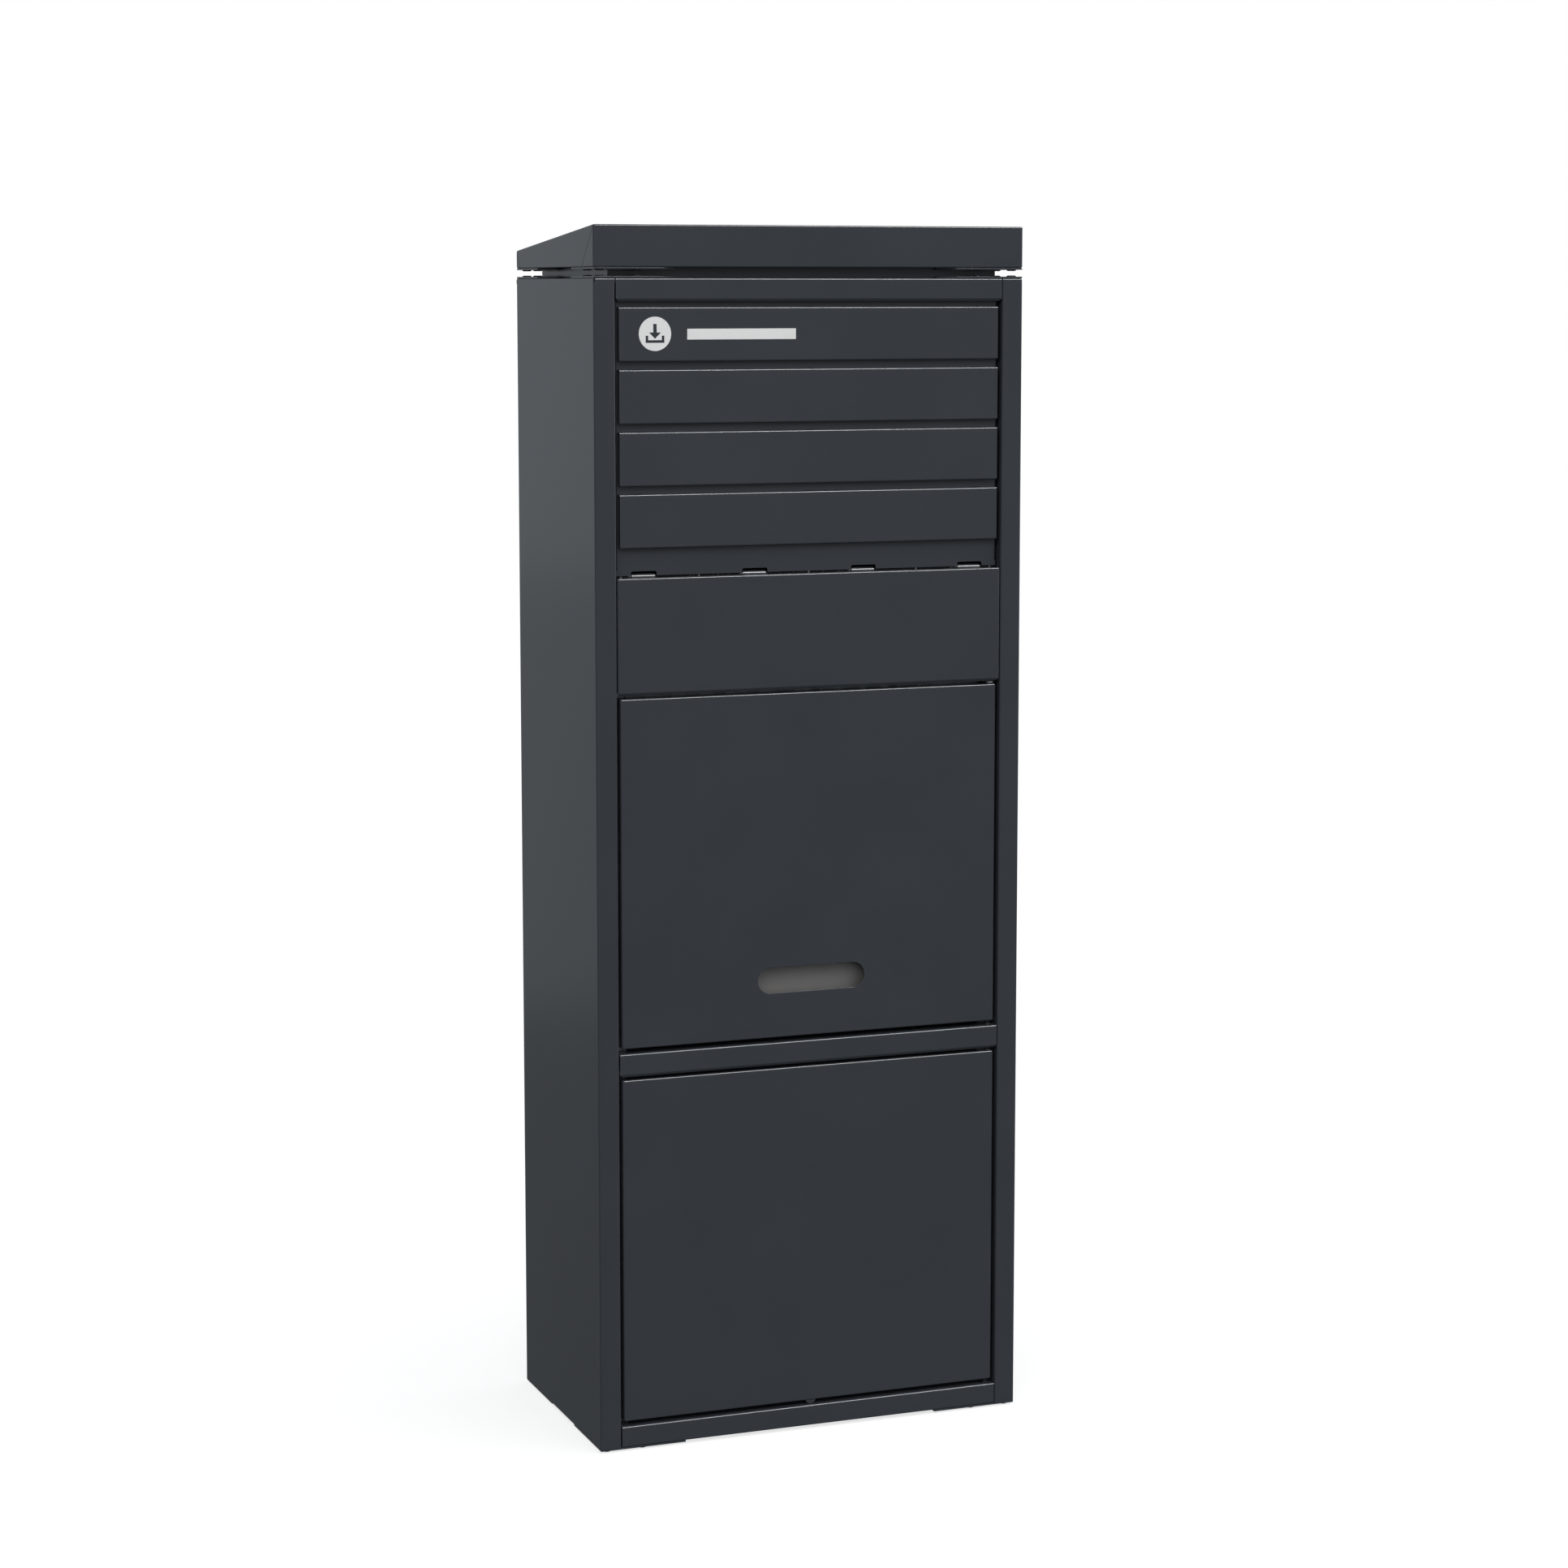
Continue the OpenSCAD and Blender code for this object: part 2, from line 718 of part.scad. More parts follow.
// A sprung plunger that pushes the lower door open when the lock lets go
module pusher_housing() {
    color(plastic) up() difference() {
        union() {
            rod_along_y(lock_front, -88, pusher_x, pusher_z, pusher_r + 4);
            block([-inner_x, -112, pusher_z - 12], [pusher_x, -107, pusher_z + 12]);
        }
        rod_along_y(lock_front - 1, -94, pusher_x, pusher_z, pusher_r + running);
    }
}
module pusher_plunger() {
    color(zinc) up() rod_along_y(liner_back + 0.4, -101, pusher_x, pusher_z, pusher_r);
}

// ---- Electronics bay ----

module controller_box() {
    depth = 43;
    lid = 2;
    rim = 6;
    box_back = back - 2 * sheet;
    box_top = controller_z + 110;
    color(plastic) up() {
        block([-200, box_back - depth, controller_z], [-40, box_back, box_top]);
        block([-200 + rim, box_back - depth - lid, controller_z + rim],
            [-40 - rim, box_back - depth, box_top - rim]);
    }
}

module battery_pack() {
    color("#3c4f5c") up() {
        block([30, 40, bay_z + sheet], [170, 120, bay_z + 70]);
        for (x = [60, 130]) block([x, 50, bay_z + 70], [x + 14, 64, bay_z + 74]);
    }
}

// The lock lead: down from the controller, along the left side and forward to each lock
module lock_cable() {
    run_z = bay_z - 30;
    color(rubber) up() {
        rod_along_z(run_z, controller_z, cable_down_x, cable_y, cable_r);
        rod_along_x(cable_x, cable_down_x, cable_y, run_z, cable_r);
        rod_along_z(lock_low_z, run_z, cable_x, cable_y, cable_r);
        for (z = [lock_mid_z, lock_low_z]) rod_along_y(lock_back, cable_y, cable_x, z, cable_r);
        for (p = [[cable_down_x, run_z], [cable_x, run_z], [cable_x, lock_mid_z], [cable_x, lock_low_z]])
            translate([p[0], cable_y, p[1]]) sphere(r = cable_r);
    }
}

module cable_grommet() {
    rim_r = grommet_r + 3;
    color(rubber) up() difference() {
        union() {
            rod_along_y(back - 2 * sheet, back - sheet, grommet_x, grommet_z, grommet_r);
            rod_along_y(back - sheet, back - 0.2, grommet_x, grommet_z, rim_r);
            rod_along_y(back - 2 * sheet - 2, back - 2 * sheet, grommet_x, grommet_z, rim_r);
        }
        rod_along_y(back - 8, back + 1, grommet_x, grommet_z, grommet_bore / 2);
    }
}

// ---- Corner plates, neck and roof ----

module foot_plate_outline() {
    polygon([[0, 0], [plate_leg, 0], [plate_leg, plate_w], [plate_w, plate_w],
        [plate_w, plate_leg], [0, plate_leg]]);
}

module top_plate_outline() {
    cut = 18;
    polygon([[0, 0], [plate_leg - cut - 3, 0], [plate_leg - 3, cut], [plate_leg - 3, plate_w],
        [plate_w, plate_w], [plate_w, plate_leg - 3], [cut, plate_leg - 3], [0, plate_leg - cut - 3]]);
}

module corner_plates(z) {
    difference() {
        at_corners() translate([plate_inset, plate_inset, z]) linear_extrude(plate_t) children();
        plate_screw_holes(z - 1, z + plate_t + 1);
    }
}

module bottom_corner_plates() color(paint) up() corner_plates(-plate_t) foot_plate_outline();
module top_corner_plates() color(paint) up() corner_plates(top_z) top_plate_outline();
module roof_corner_plates() color(paint) up() corner_plates(roof_z - plate_t) top_plate_outline();

// A low-headed screw, head down, with the underside of its head at the origin
module low_screw(head_h) {
    translate([0, 0, -head_h]) cylinder(h = head_h, r1 = 4.2, r2 = 5.5);
    cylinder(h = 6.5, r = 2.9);
}

module foot_screws() {
    color(black_steel) up() translate([0, 0, -plate_t])
        at_corners() at_plate_screws() low_screw(foot_h - plate_t);
}

module plate_screws() {
    head_h = 1.4;
    color(black_steel) up() {
        translate([0, 0, roof_z - plate_t]) at_corners() at_plate_screws() low_screw(head_h);
        translate([0, 0, top_z + plate_t])
            at_corners() at_plate_screws() mirror([0, 0, 1]) low_screw(head_h);
    }
}

module neck_frame() {
    x = half_w - neck_inset;
    y = back - neck_inset;
    neck_top = roof_z + 16;
    color(paint) up() difference() {
        block([-x, -y, top_z], [x, y, neck_top]);
        block([-x + sheet, -y + sheet, top_z + sheet], [x - sheet, y - sheet, neck_top + 1]);
        block([-x + 30, -y + 30, top_z - 1], [x - 30, y - 30, top_z + 5]);
    }
}

// Angles that carry the roof's flange on the neck
module roof_brackets() {
    x = half_w - neck_inset;
    color(zinc) up() both_sides() for (y = [-70, 70]) {
        block([x, y - 15, roof_z + sheet], [x + 16, y + 15, roof_z + 2 * sheet]);
        block([x, y - 15, roof_z + sheet], [x + sheet, y + 15, roof_z + 15]);
    }
}

// The roof's outline from the side
function roof_path(inset) = [
    [front + inset, roof_z],
    [front + inset, roof_z + roof_front_h - inset],
    [back - inset, roof_z + roof_back_h - inset],
    [back - inset, roof_z]];

module roof_side_outline() {
    polygon(concat([[front, roof_z]], face_of(roof_path(half_t), half_t), [[back, roof_z]]));
}

// A shallow groove down the left skirt, from the corner at y and height h, run away from it
module lap_seam(y, h, run, width) {
    long = norm([h, run]) + 5;
    translate([-half_w, y, roof_z + h]) rotate([atan2(run, h), 0, 0])
        translate([-1, -width / 2, -long]) cube([1 + width, width, long]);
}

module roof_cap() {
    seam = 0.35;
    color(paint) up() difference() {
        union() {
            // Front skirt, top and back skirt in one folded sheet
            along_x(-half_w + 0.6, half_w - 0.6) folded(roof_path(half_t));
            // Side skirts
            both_sides() along_x(-half_w, -half_w + sheet) roof_side_outline();
            // Flange turned in under the skirts
            difference() {
                block([-half_w + 1, front + 1, roof_z], [half_w - 1, back - 1, roof_z + sheet]);
                block([-half_w + neck_inset - 0.5, front + neck_inset - 0.5, roof_z - 1],
                    [half_w - neck_inset + 0.5, back - neck_inset + 0.5, roof_z + 3]);
            }
        }
        // Seams where the front and back skirts lap round the sides
        both_sides() {
            lap_seam(front, roof_front_h, 44, seam);
            lap_seam(back, roof_back_h, -17, seam);
        }
        plate_screw_holes(roof_z - 1, roof_z + 3);
    }
}

// ---- Rivets ----

module rivet_places() {
    for (x = [-half_w + 9, half_w - 9], i = [0 : 8])
        translate([x, back - sheet, 60 + i * 150]) rotate([90, 0, 0]) children();
}

module rivets() {
    color(zinc) up() rivet_places() translate([0, 0, -sheet]) {
        cylinder(h = 2 * sheet, r = rivet_r);
        translate([0, 0, 2 * sheet]) cylinder(h = 1.4, r1 = 3.6, r2 = 2.6);
    }
}

left_side_panel();
right_side_panel();
back_panel();
base_pan();
top_panel();
top_rail();
mid_rail();
bottom_rail();
head_panel();
slat(0);  // slat_1
slat(1);  // slat_2
slat(2);  // slat_3
slat(3);  // slat_4
parcel_badge();
name_strip();
bay_floor();
mid_shelf();
stop_strip_left();
stop_strip_right();
drop_chute();
flap_buffers();
flap_rod();
flap_rod_brackets();
flap_skin();
flap_knuckles();
middle_door_skin();
middle_door_liner();
finger_cup();
middle_door_seal();
middle_striker();
middle_door_bushes();
lower_door_skin();
lower_door_liner();
lower_door_seal();
lower_striker();
lower_door_bushes();
pull_tab();
hinge_pins();
hinge_washers();
top_hinge_bracket();
middle_lock_body();
middle_lock_bolt();
lower_lock_body();
lower_lock_bolt();
pusher_housing();
pusher_plunger();
controller_box();
battery_pack();
lock_cable();
cable_grommet();
bottom_corner_plates();
foot_screws();
top_corner_plates();
roof_corner_plates();
plate_screws();
neck_frame();
roof_brackets();
roof_cap();
rivets();
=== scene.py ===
# %% [markdown]
# # A parcel locker, dressed for its portrait
#
# The locker arrives here as a finished mechanical model: every sheet, pin, lock and screw is already the
# right size and in the right place, and knows which door or flap it moves with. That model is called the
# frame. This lesson gives it its looks: better meshes where light will catch an edge, a real finish on
# every surface, soft light and a camera. Nothing in the frame is moved or resized.

# %% Load the frame
import json
import math

import bmesh
import bpy
from mathutils import Matrix, Vector

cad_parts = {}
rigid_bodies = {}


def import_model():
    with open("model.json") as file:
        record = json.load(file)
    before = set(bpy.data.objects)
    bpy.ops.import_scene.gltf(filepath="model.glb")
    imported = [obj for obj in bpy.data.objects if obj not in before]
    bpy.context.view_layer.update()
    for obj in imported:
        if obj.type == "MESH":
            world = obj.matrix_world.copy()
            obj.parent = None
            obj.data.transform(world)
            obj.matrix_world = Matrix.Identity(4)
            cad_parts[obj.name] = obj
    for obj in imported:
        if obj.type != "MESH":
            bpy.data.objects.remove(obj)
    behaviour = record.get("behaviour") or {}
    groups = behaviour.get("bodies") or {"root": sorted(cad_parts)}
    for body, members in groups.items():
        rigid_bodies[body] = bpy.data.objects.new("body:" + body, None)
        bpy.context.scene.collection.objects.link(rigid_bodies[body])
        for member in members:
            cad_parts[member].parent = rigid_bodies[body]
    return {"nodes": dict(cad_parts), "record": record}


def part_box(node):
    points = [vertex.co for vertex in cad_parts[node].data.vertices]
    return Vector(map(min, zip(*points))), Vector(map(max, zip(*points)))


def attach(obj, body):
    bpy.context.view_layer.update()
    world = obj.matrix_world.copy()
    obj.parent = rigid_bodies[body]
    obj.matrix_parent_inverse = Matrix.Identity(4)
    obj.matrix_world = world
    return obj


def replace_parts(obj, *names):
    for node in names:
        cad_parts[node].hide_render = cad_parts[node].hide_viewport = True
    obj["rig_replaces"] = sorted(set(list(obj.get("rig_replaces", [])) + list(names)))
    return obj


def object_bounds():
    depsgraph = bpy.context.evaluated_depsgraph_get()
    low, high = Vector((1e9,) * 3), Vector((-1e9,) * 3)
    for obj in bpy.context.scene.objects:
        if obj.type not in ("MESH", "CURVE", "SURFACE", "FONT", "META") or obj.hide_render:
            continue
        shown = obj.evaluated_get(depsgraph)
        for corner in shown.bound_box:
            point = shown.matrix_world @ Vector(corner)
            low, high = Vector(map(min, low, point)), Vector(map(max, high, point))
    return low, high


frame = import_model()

scene = bpy.context.scene
record = frame["record"]
cad_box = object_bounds()

# %% [markdown]
# ## Lengths and look-ups
#
# A sheet-metal drawing is in millimetres and Blender works in metres, so one constant turns one into the
# other. The record says which body each node rides on and which finish it has, so two dictionaries
# answer those questions for the rest of the lesson instead of repeating the names by hand.

# %% Lengths and look-ups
MM = 0.001
SHEET = 1.5 * MM
FOLD = 2.0 * MM

body_of = {node: body for body, nodes in record["behaviour"]["bodies"].items() for node in nodes}
slot_of = {part["node"]: part["material_slot"] for part in record["subparts"]}
print("finishes:", sorted(set(slot_of.values())))

# %% [markdown]
# ## Colours and nodes
#
# Colours are easiest to read as the hex codes of a paint chart, which are sRGB. Blender's sockets want
# linear light, so one function converts. Materials and Geometry Nodes are both trees of nodes, and one
# small function adds a node with its settings and its links, which keeps each tree short enough to read.
# A Mix node holds hidden sockets for numbers and vectors too, so its two colours are sockets 6 and 7 and
# its result is output 2. Four kinds of node come back in most finishes, so each has a function of its own:
# noise, blend, spread and relief.

# %% Colours and nodes
def paint(code):
    """An sRGB hex colour as the linear RGBA that a socket takes."""
    channels = [int(code[i:i + 2], 16) / 255 for i in (1, 3, 5)]
    return [c / 12.92 if c <= 0.04045 else ((c + 0.055) / 1.055) ** 2.4 for c in channels] + [1.0]


def add(tree, kind, inputs=None, **settings):
    """Adds a node. Settings are its properties; inputs are its sockets, each with a value or a link."""
    made = tree.nodes.new(kind)
    for name, value in settings.items():
        setattr(made, name, value)
    for socket, value in (inputs or {}).items():
        if isinstance(value, bpy.types.NodeSocket):
            tree.links.new(value, made.inputs[socket])
        else:
            made.inputs[socket].default_value = value
    return made


def per_metre(size_mm):
    """The scale of a texture whose features are this many millimetres across."""
    return 1000 / size_mm


def new_finish(name):
    """An empty material, its tree, and the Object coordinates that its patterns are laid on."""
    material = bpy.data.materials.new(name)
    material.use_nodes = True
    tree = material.node_tree
    tree.nodes.clear()
    return material, tree, add(tree, "ShaderNodeTexCoord").outputs["Object"]


def noise(tree, place, size_mm, detail):
    """A noise pattern's value, from 0 to 1."""
    return add(tree, "ShaderNodeTexNoise", {"Vector": place, "Scale": per_metre(size_mm),
                                            "Detail": detail}).outputs["Fac"]


def blend(tree, amount, dark, light):
    """A colour between two hex colours."""
    return add(tree, "ShaderNodeMix", {0: amount, 6: paint(dark), 7: paint(light)},
               data_type="RGBA").outputs[2]


def spread(tree, value, low, high):
    """A value from 0 to 1, spread over a range."""
    return add(tree, "ShaderNodeMapRange", {"Value": value, "To Min": low,
                                            "To Max": high}).outputs["Result"]


def relief(tree, height, strength, depth_mm):
    """A Bump node for a pattern that is this many millimetres deep."""
    return add(tree, "ShaderNodeBump", {"Height": height, "Strength": strength,
                                        "Distance": depth_mm * MM})


def show(tree, inputs):
    """Ends a material's tree with a Principled surface that has these inputs."""
    surface = add(tree, "ShaderNodeBsdfPrincipled", inputs)
    add(tree, "ShaderNodeOutputMaterial", {"Surface": surface.outputs["BSDF"]})


# %% [markdown]
# ## Powder coat
#
# The whole cabinet is coated in anthracite polyester powder: a dry paint that is sprayed on, then melted
# into a skin about 0.08 mm thick. It isn't mirror smooth. The melt leaves a faint orange peel, and the
# fine-textured kind adds a grain that breaks up reflections, so the eye reads a soft satin sheet with
# bright lines only where a fold catches a lamp. A flat dark colour would look like plastic, so the colour
# and the roughness drift a little over a hand's width, and two bumps stand in for peel and grain. Real
# grain is about 0.4 mm across; at this distance it would vanish, so it is drawn at 2 mm. The roughness
# stops at 0.27: up to 0.29, denoising a render of few samples left faint spots where the pattern peaks.

# %% Powder coat
def polyester_powder_coat():
    material, tree, place = new_finish("polyester_powder_coat")
    drift = noise(tree, place, 120, 3.0)
    waves = relief(tree, noise(tree, place, 9, 2.0), 0.2, 0.03)
    skin = relief(tree, noise(tree, place, 2, 1.0), 0.3, 0.03)
    tree.links.new(waves.outputs["Normal"], skin.inputs["Normal"])
    show(tree, {"Base Color": blend(tree, drift, "#2e3136", "#34383d"),
                "Roughness": spread(tree, drift, 0.22, 0.27),
                "Normal": skin.outputs["Normal"], "IOR": 1.45})
    return material


# %% [markdown]
# ## Galvanised and zinc-plated steel
#
# What the coat doesn't cover is bare zinc, in two kinds. Sheet from the mill is dipped in molten zinc,
# which freezes into spangles: flat crystals 5 to 15 mm across, each tilted a little, so each mirrors the
# room at its own brightness. Voronoi cells are that shape, and each cell's random colour drives its
# brightness and roughness. Small parts are plated in a bath instead. That zinc is brighter and even, with
# the fine lines of the wire or strip it was drawn from, so it gets stretched noise and no crystals.

# %% Galvanised and zinc-plated steel
def galvanised_sheet():
    material, tree, place = new_finish("hot_dip_galvanised_steel")
    spangle = add(tree, "ShaderNodeTexVoronoi", {"Vector": place, "Scale": per_metre(11)})
    each = add(tree, "ShaderNodeSeparateColor", {"Color": spangle.outputs["Color"]})
    milky = spread(tree, noise(tree, place, 60, 4.0), 0.0, 0.35)
    colour = add(tree, "ShaderNodeMix", {0: milky, 6: blend(tree, each.outputs[0], "#9ba1a4", "#c3c7c8"),
                                         7: paint("#8e9395")}, data_type="RGBA")
    show(tree, {"Base Color": colour.outputs[2], "Roughness": spread(tree, each.outputs[1], 0.32, 0.52),
                "Normal": relief(tree, each.outputs[2], 0.15, 0.05).outputs["Normal"], "Metallic": 1.0})
    return material


def zinc_plated_steel():
    material, tree, place = new_finish("bright_zinc_plated_steel")
    drawn = add(tree, "ShaderNodeMapping", {"Vector": place, "Scale": (0.08, 1.0, 1.0)})
    lines = noise(tree, drawn.outputs["Vector"], 1.2, 2.0)
    show(tree, {"Base Color": blend(tree, noise(tree, place, 14, 3.0), "#b4babd", "#d2d3cb"),
                "Roughness": spread(tree, lines, 0.2, 0.38),
                "Normal": relief(tree, lines, 0.15, 0.02).outputs["Normal"], "Metallic": 1.0})
    return material


# %% [markdown]
# ## Screws and the finger cup
#
# The screws are hardened steel dipped in a black zinc-flake paint. It is thin, so it stays metallic, and
# it is rubbed to grey where a key has turned: noise with a steep ramp makes those few rubs. The cup
# behind the pull slot was primed and not coated, a warm grey that is flatter than the door around it.

# %% Screws and the finger cup
def black_zinc_flake():
    material, tree, place = new_finish("black_zinc_flake_coating")
    rubs = noise(tree, place, 4, 4.0)
    worn = add(tree, "ShaderNodeMapRange", {"Value": rubs, "From Min": 0.56, "From Max": 0.72,
                                            "To Min": 0.0, "To Max": 0.6})
    show(tree, {"Base Color": blend(tree, worn.outputs["Result"], "#2b2c2d", "#77797a"),
                "Roughness": spread(tree, rubs, 0.35, 0.6), "Metallic": 0.7})
    return material


def primed_pocket_steel():
    material, tree, place = new_finish("warm_grey_primed_steel")
    cloud = noise(tree, place, 35, 3.0)
    dust = relief(tree, noise(tree, place, 1.5, 2.0), 0.2, 0.03)
    show(tree, {"Base Color": blend(tree, cloud, "#5d5b59", "#656362"),
                "Roughness": spread(tree, cloud, 0.5, 0.6), "Normal": dust.outputs["Normal"]})
    return material


# %% [markdown]
# ## Rubber, nylon, ABS and film
#
# Four things here are polymers, and the eye tells them apart by gloss. EPDM rubber is the flattest: it
# swallows light and carries a grey bloom of dust. Glass-filled nylon, which the locks and bushes are
# moulded from, has a spark-eroded skin like fine leather. The battery's ABS case is smoother and shows a
# soft highlight. Cut vinyl film is the smoothest and is pale. All four have the same parts, a pair of
# colours, a gloss range and a texture height, so one function makes them from those numbers.

# %% Rubber, nylon, ABS and film
def moulded(name, dark, light, gloss_range, texture_mm, height):
    """A polymer with two close colours, a range of roughness and a moulded texture of that size."""
    material, tree, place = new_finish(name)
    cloud = noise(tree, place, 40, 4.0)
    texture = add(tree, "ShaderNodeTexVoronoi", {"Vector": place, "Scale": per_metre(texture_mm)})
    show(tree, {"Base Color": blend(tree, cloud, dark, light), "Roughness": spread(tree, cloud, *gloss_range),
                "Normal": relief(tree, texture.outputs["Distance"], height, 0.05).outputs["Normal"],
                "IOR": 1.5})
    return material


finish = {
    "powder_coat": polyester_powder_coat(),
    "galvanised_sheet": galvanised_sheet(),
    "zinc_plated_steel": zinc_plated_steel(),
    "black_oxide_screws": black_zinc_flake(),
    "pocket_steel": primed_pocket_steel(),
    "epdm_rubber": moulded("epdm_rubber", "#161718", "#242526", (0.75, 0.9), 1.5, 0.15),
    "moulded_nylon": moulded("glass_filled_nylon", "#202224", "#2a2c2e", (0.5, 0.62), 1.0, 0.3),
    "battery_case": moulded("blue_grey_abs", "#3a4c58", "#435663", (0.32, 0.42), 1.2, 0.12),
    "white_film": moulded("light_grey_vinyl_film", "#d0cfce", "#d8d7d6", (0.3, 0.4), 3.0, 0.05),
}
for node, cad_object in frame["nodes"].items():
    cad_object.data.materials.clear()
    cad_object.data.materials.append(finish[slot_of[node]])
print("finishes made:", len(finish))

# %% [markdown]
# ## From frame to finished mesh
#
# Real sheet metal has no knife edges: a punched blank is deburred, a moulded box has a draft and a round.
# The eye finds those edges by the thin bright lines on them, so every part gets its edges eased before it
# is shown. A part whose shape is already right is copied from the frame. The copy arrives as loose
# triangles, so they are welded and flat triangles are joined into whole faces before an edge is eased.
# Weighted normals then keep the flat faces flat while the eased edges shade round. The result is made a
# plain mesh, given its finish, set riding on its body, and takes the place of the frame's part.

# %% From frame to finished mesh
EDGE = 0.2 * MM
SHARP, CREASE = math.radians(35), math.radians(50)
triangles_made = {}


def new_piece(name, builder):
    """An object at the origin from a bmesh, which is used up."""
    mesh = bpy.data.meshes.new(name)
    builder.to_mesh(mesh)
    builder.free()
    piece = bpy.data.objects.new(name, mesh)
    scene.collection.objects.link(piece)
    return piece


def ease_edges(piece, width, steps=2):
    """Rounds the sharp edges and keeps the flat faces flat."""
    for face in piece.data.polygons:
        face.use_smooth = True
    if width:
        bevel = piece.modifiers.new("eased_edges", "BEVEL")
        bevel.limit_method = "ANGLE"
        bevel.angle_limit = SHARP
        bevel.width = width
        bevel.segments = steps
        bevel.use_clamp_overlap = False
    piece.modifiers.new("flat_faces", "WEIGHTED_NORMAL").keep_sharp = True


def settle(piece):
    """Makes what a piece's modifiers show its own plain mesh."""
    view = bpy.context.evaluated_depsgraph_get()
    mesh = bpy.data.meshes.new_from_object(piece.evaluated_get(view), depsgraph=view)
    piece.modifiers.clear()
    piece.data = mesh
    mesh.name = piece.name


def keep_in_box(piece, nodes):
    """Pulls back any vertex that a bevel pushed out of the box of the CAD nodes."""
    boxes = [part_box(node) for node in nodes]
    lows = [min(low[axis] for low, high in boxes) for axis in range(3)]
    highs = [max(high[axis] for low, high in boxes) for axis in range(3)]
    for vertex in piece.data.vertices:
        vertex.co = [min(max(place, low), high) for place, low, high in zip(vertex.co, lows, highs)]


def dress(piece, slot, body):
    """Gives a piece its finish and sets it riding on a body."""
    piece.data.materials.clear()
    piece.data.materials.append(finish[slot])
    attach(piece, body)


def hand_over(piece, *nodes):
    """Gives a finished piece the finish, body and place of the CAD nodes that it stands for."""
    settle(piece)
    keep_in_box(piece, nodes)
    piece.data.shade_smooth()
    piece.data.set_sharp_from_angle(angle=CREASE)
    dress(piece, slot_of[nodes[0]], body_of[nodes[0]])
    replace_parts(piece, *nodes)
    triangles_made[piece.name] = sum(len(face.vertices) - 2 for face in piece.data.polygons)
    return piece


def welded_copy(node):
    """A CAD node's loose triangles, welded, with its flat faces whole again."""
    builder = bmesh.new()
    builder.from_mesh(frame["nodes"][node].data)
    bmesh.ops.remove_doubles(builder, verts=builder.verts, dist=0.002 * MM)
    bmesh.ops.dissolve_limit(builder, angle_limit=math.radians(0.3), verts=builder.verts,
                             edges=builder.edges)
    return builder


def eased_copy(node, width=EDGE, steps=2):
    piece = new_piece(node + "_finished", welded_copy(node))
    ease_edges(piece, width, steps)
    return hand_over(piece, node)


# %% [markdown]
# ## Sheet metal as a paper model
#
# A folded part is easiest to think of as a paper model: flat panels that meet at edges. The press brake
# rounds each of those edges to the same radius, whatever the angle, and the sheet has one thickness. So a
# function takes the corners and the panels, rounds each shared edge with a bevel whose width suits its
# angle, and a Solidify modifier adds the thickness on the inside. Where three panels meet, the bevel makes
# the small round corner of a welded and ground pan.

# %% Sheet metal as a paper model
FOLD_STEPS = 6


def paper_model(name, corners, panels, fold=FOLD, thickness=SHEET):
    """A folded sheet from flat panels. The first panel's outside is the side away from the other corners."""
    builder = bmesh.new()
    points = [builder.verts.new(corner) for corner in corners]
    faces = [builder.faces.new([points[i] for i in panel]) for panel in panels]
    bmesh.ops.recalc_face_normals(builder, faces=faces)
    heart = sum((Vector(corner) for corner in corners), Vector()) / len(corners)
    if faces[0].normal.dot(faces[0].calc_center_median() - heart) < 0:
        bmesh.ops.reverse_faces(builder, faces=faces)

    def bend(edge):
        """A fold's angle. Every steep one counts as square, so that they are all rounded together."""
        degrees = math.degrees(edge.calc_face_angle())
        return 90 if degrees > 60 else round(degrees)

    def folds():
        return [edge for edge in builder.edges if len(edge.link_faces) == 2]

    for degrees in sorted({bend(edge) for edge in folds()}, reverse=True):
        alike = [edge for edge in folds() if bend(edge) == degrees]
        bmesh.ops.bevel(builder, geom=alike, offset=fold * math.tan(math.radians(degrees) / 2),
                        offset_type="OFFSET", segments=FOLD_STEPS, profile=0.5, affect="EDGES")
    piece = new_piece(name, builder)
    wall = piece.modifiers.new("sheet", "SOLIDIFY")
    wall.thickness = thickness
    wall.offset = -1.0
    wall.use_even_offset = True
    return piece


def box_corners(low, high):
    """The eight corners of a box, X first, then Y, then Z."""
    return [(x, y, z) for z in (low[2], high[2]) for y in (low[1], high[1]) for x in (low[0], high[0])]


BOX_PANELS = {"front": (0, 1, 5, 4), "back": (2, 3, 7, 6), "left": (0, 2, 6, 4), "right": (1, 3, 7, 5),
              "bottom": (0, 1, 3, 2), "top": (4, 5, 7, 6)}


def cut(piece, tool):
    """Cuts a tool's shape out of a piece. The tool isn't shown and goes away when the piece is done."""
    boolean = piece.modifiers.new("cut", "BOOLEAN")
    boolean.operation = "DIFFERENCE"
    boolean.solver = "EXACT"
    boolean.object = tool
    tool.hide_render = True
    return tool


# %% [markdown]
# ## The two doors and the finger cup
#
# Both doors are the same folded pan, so they share one function. The middle one also has the pull slot, a
# hole with round ends that is punched through the face: a prism of the slot's outline, cut out with a
# Boolean, keeps the sheet's true thickness in the slot's edge, where it can be seen. The cup behind it is
# pressed, not folded, so its corners are rounder. The slot is found from the cup, whose margins round
# the slot are known.

# %% The two doors and the finger cup
CUP_SIDE, CUP_BELOW, CUP_ABOVE = 18 * MM, 8 * MM, 26 * MM
CUP_CORNER = 2.5 * MM
SLOT_EDGE, PUNCH_REACH = 0.35 * MM, 5 * MM
cup_low, cup_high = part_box("finger_cup")
slot_low, slot_high = cup_low.z + CUP_BELOW, cup_high.z - CUP_ABOVE
slot_half = cup_high.x - CUP_SIDE


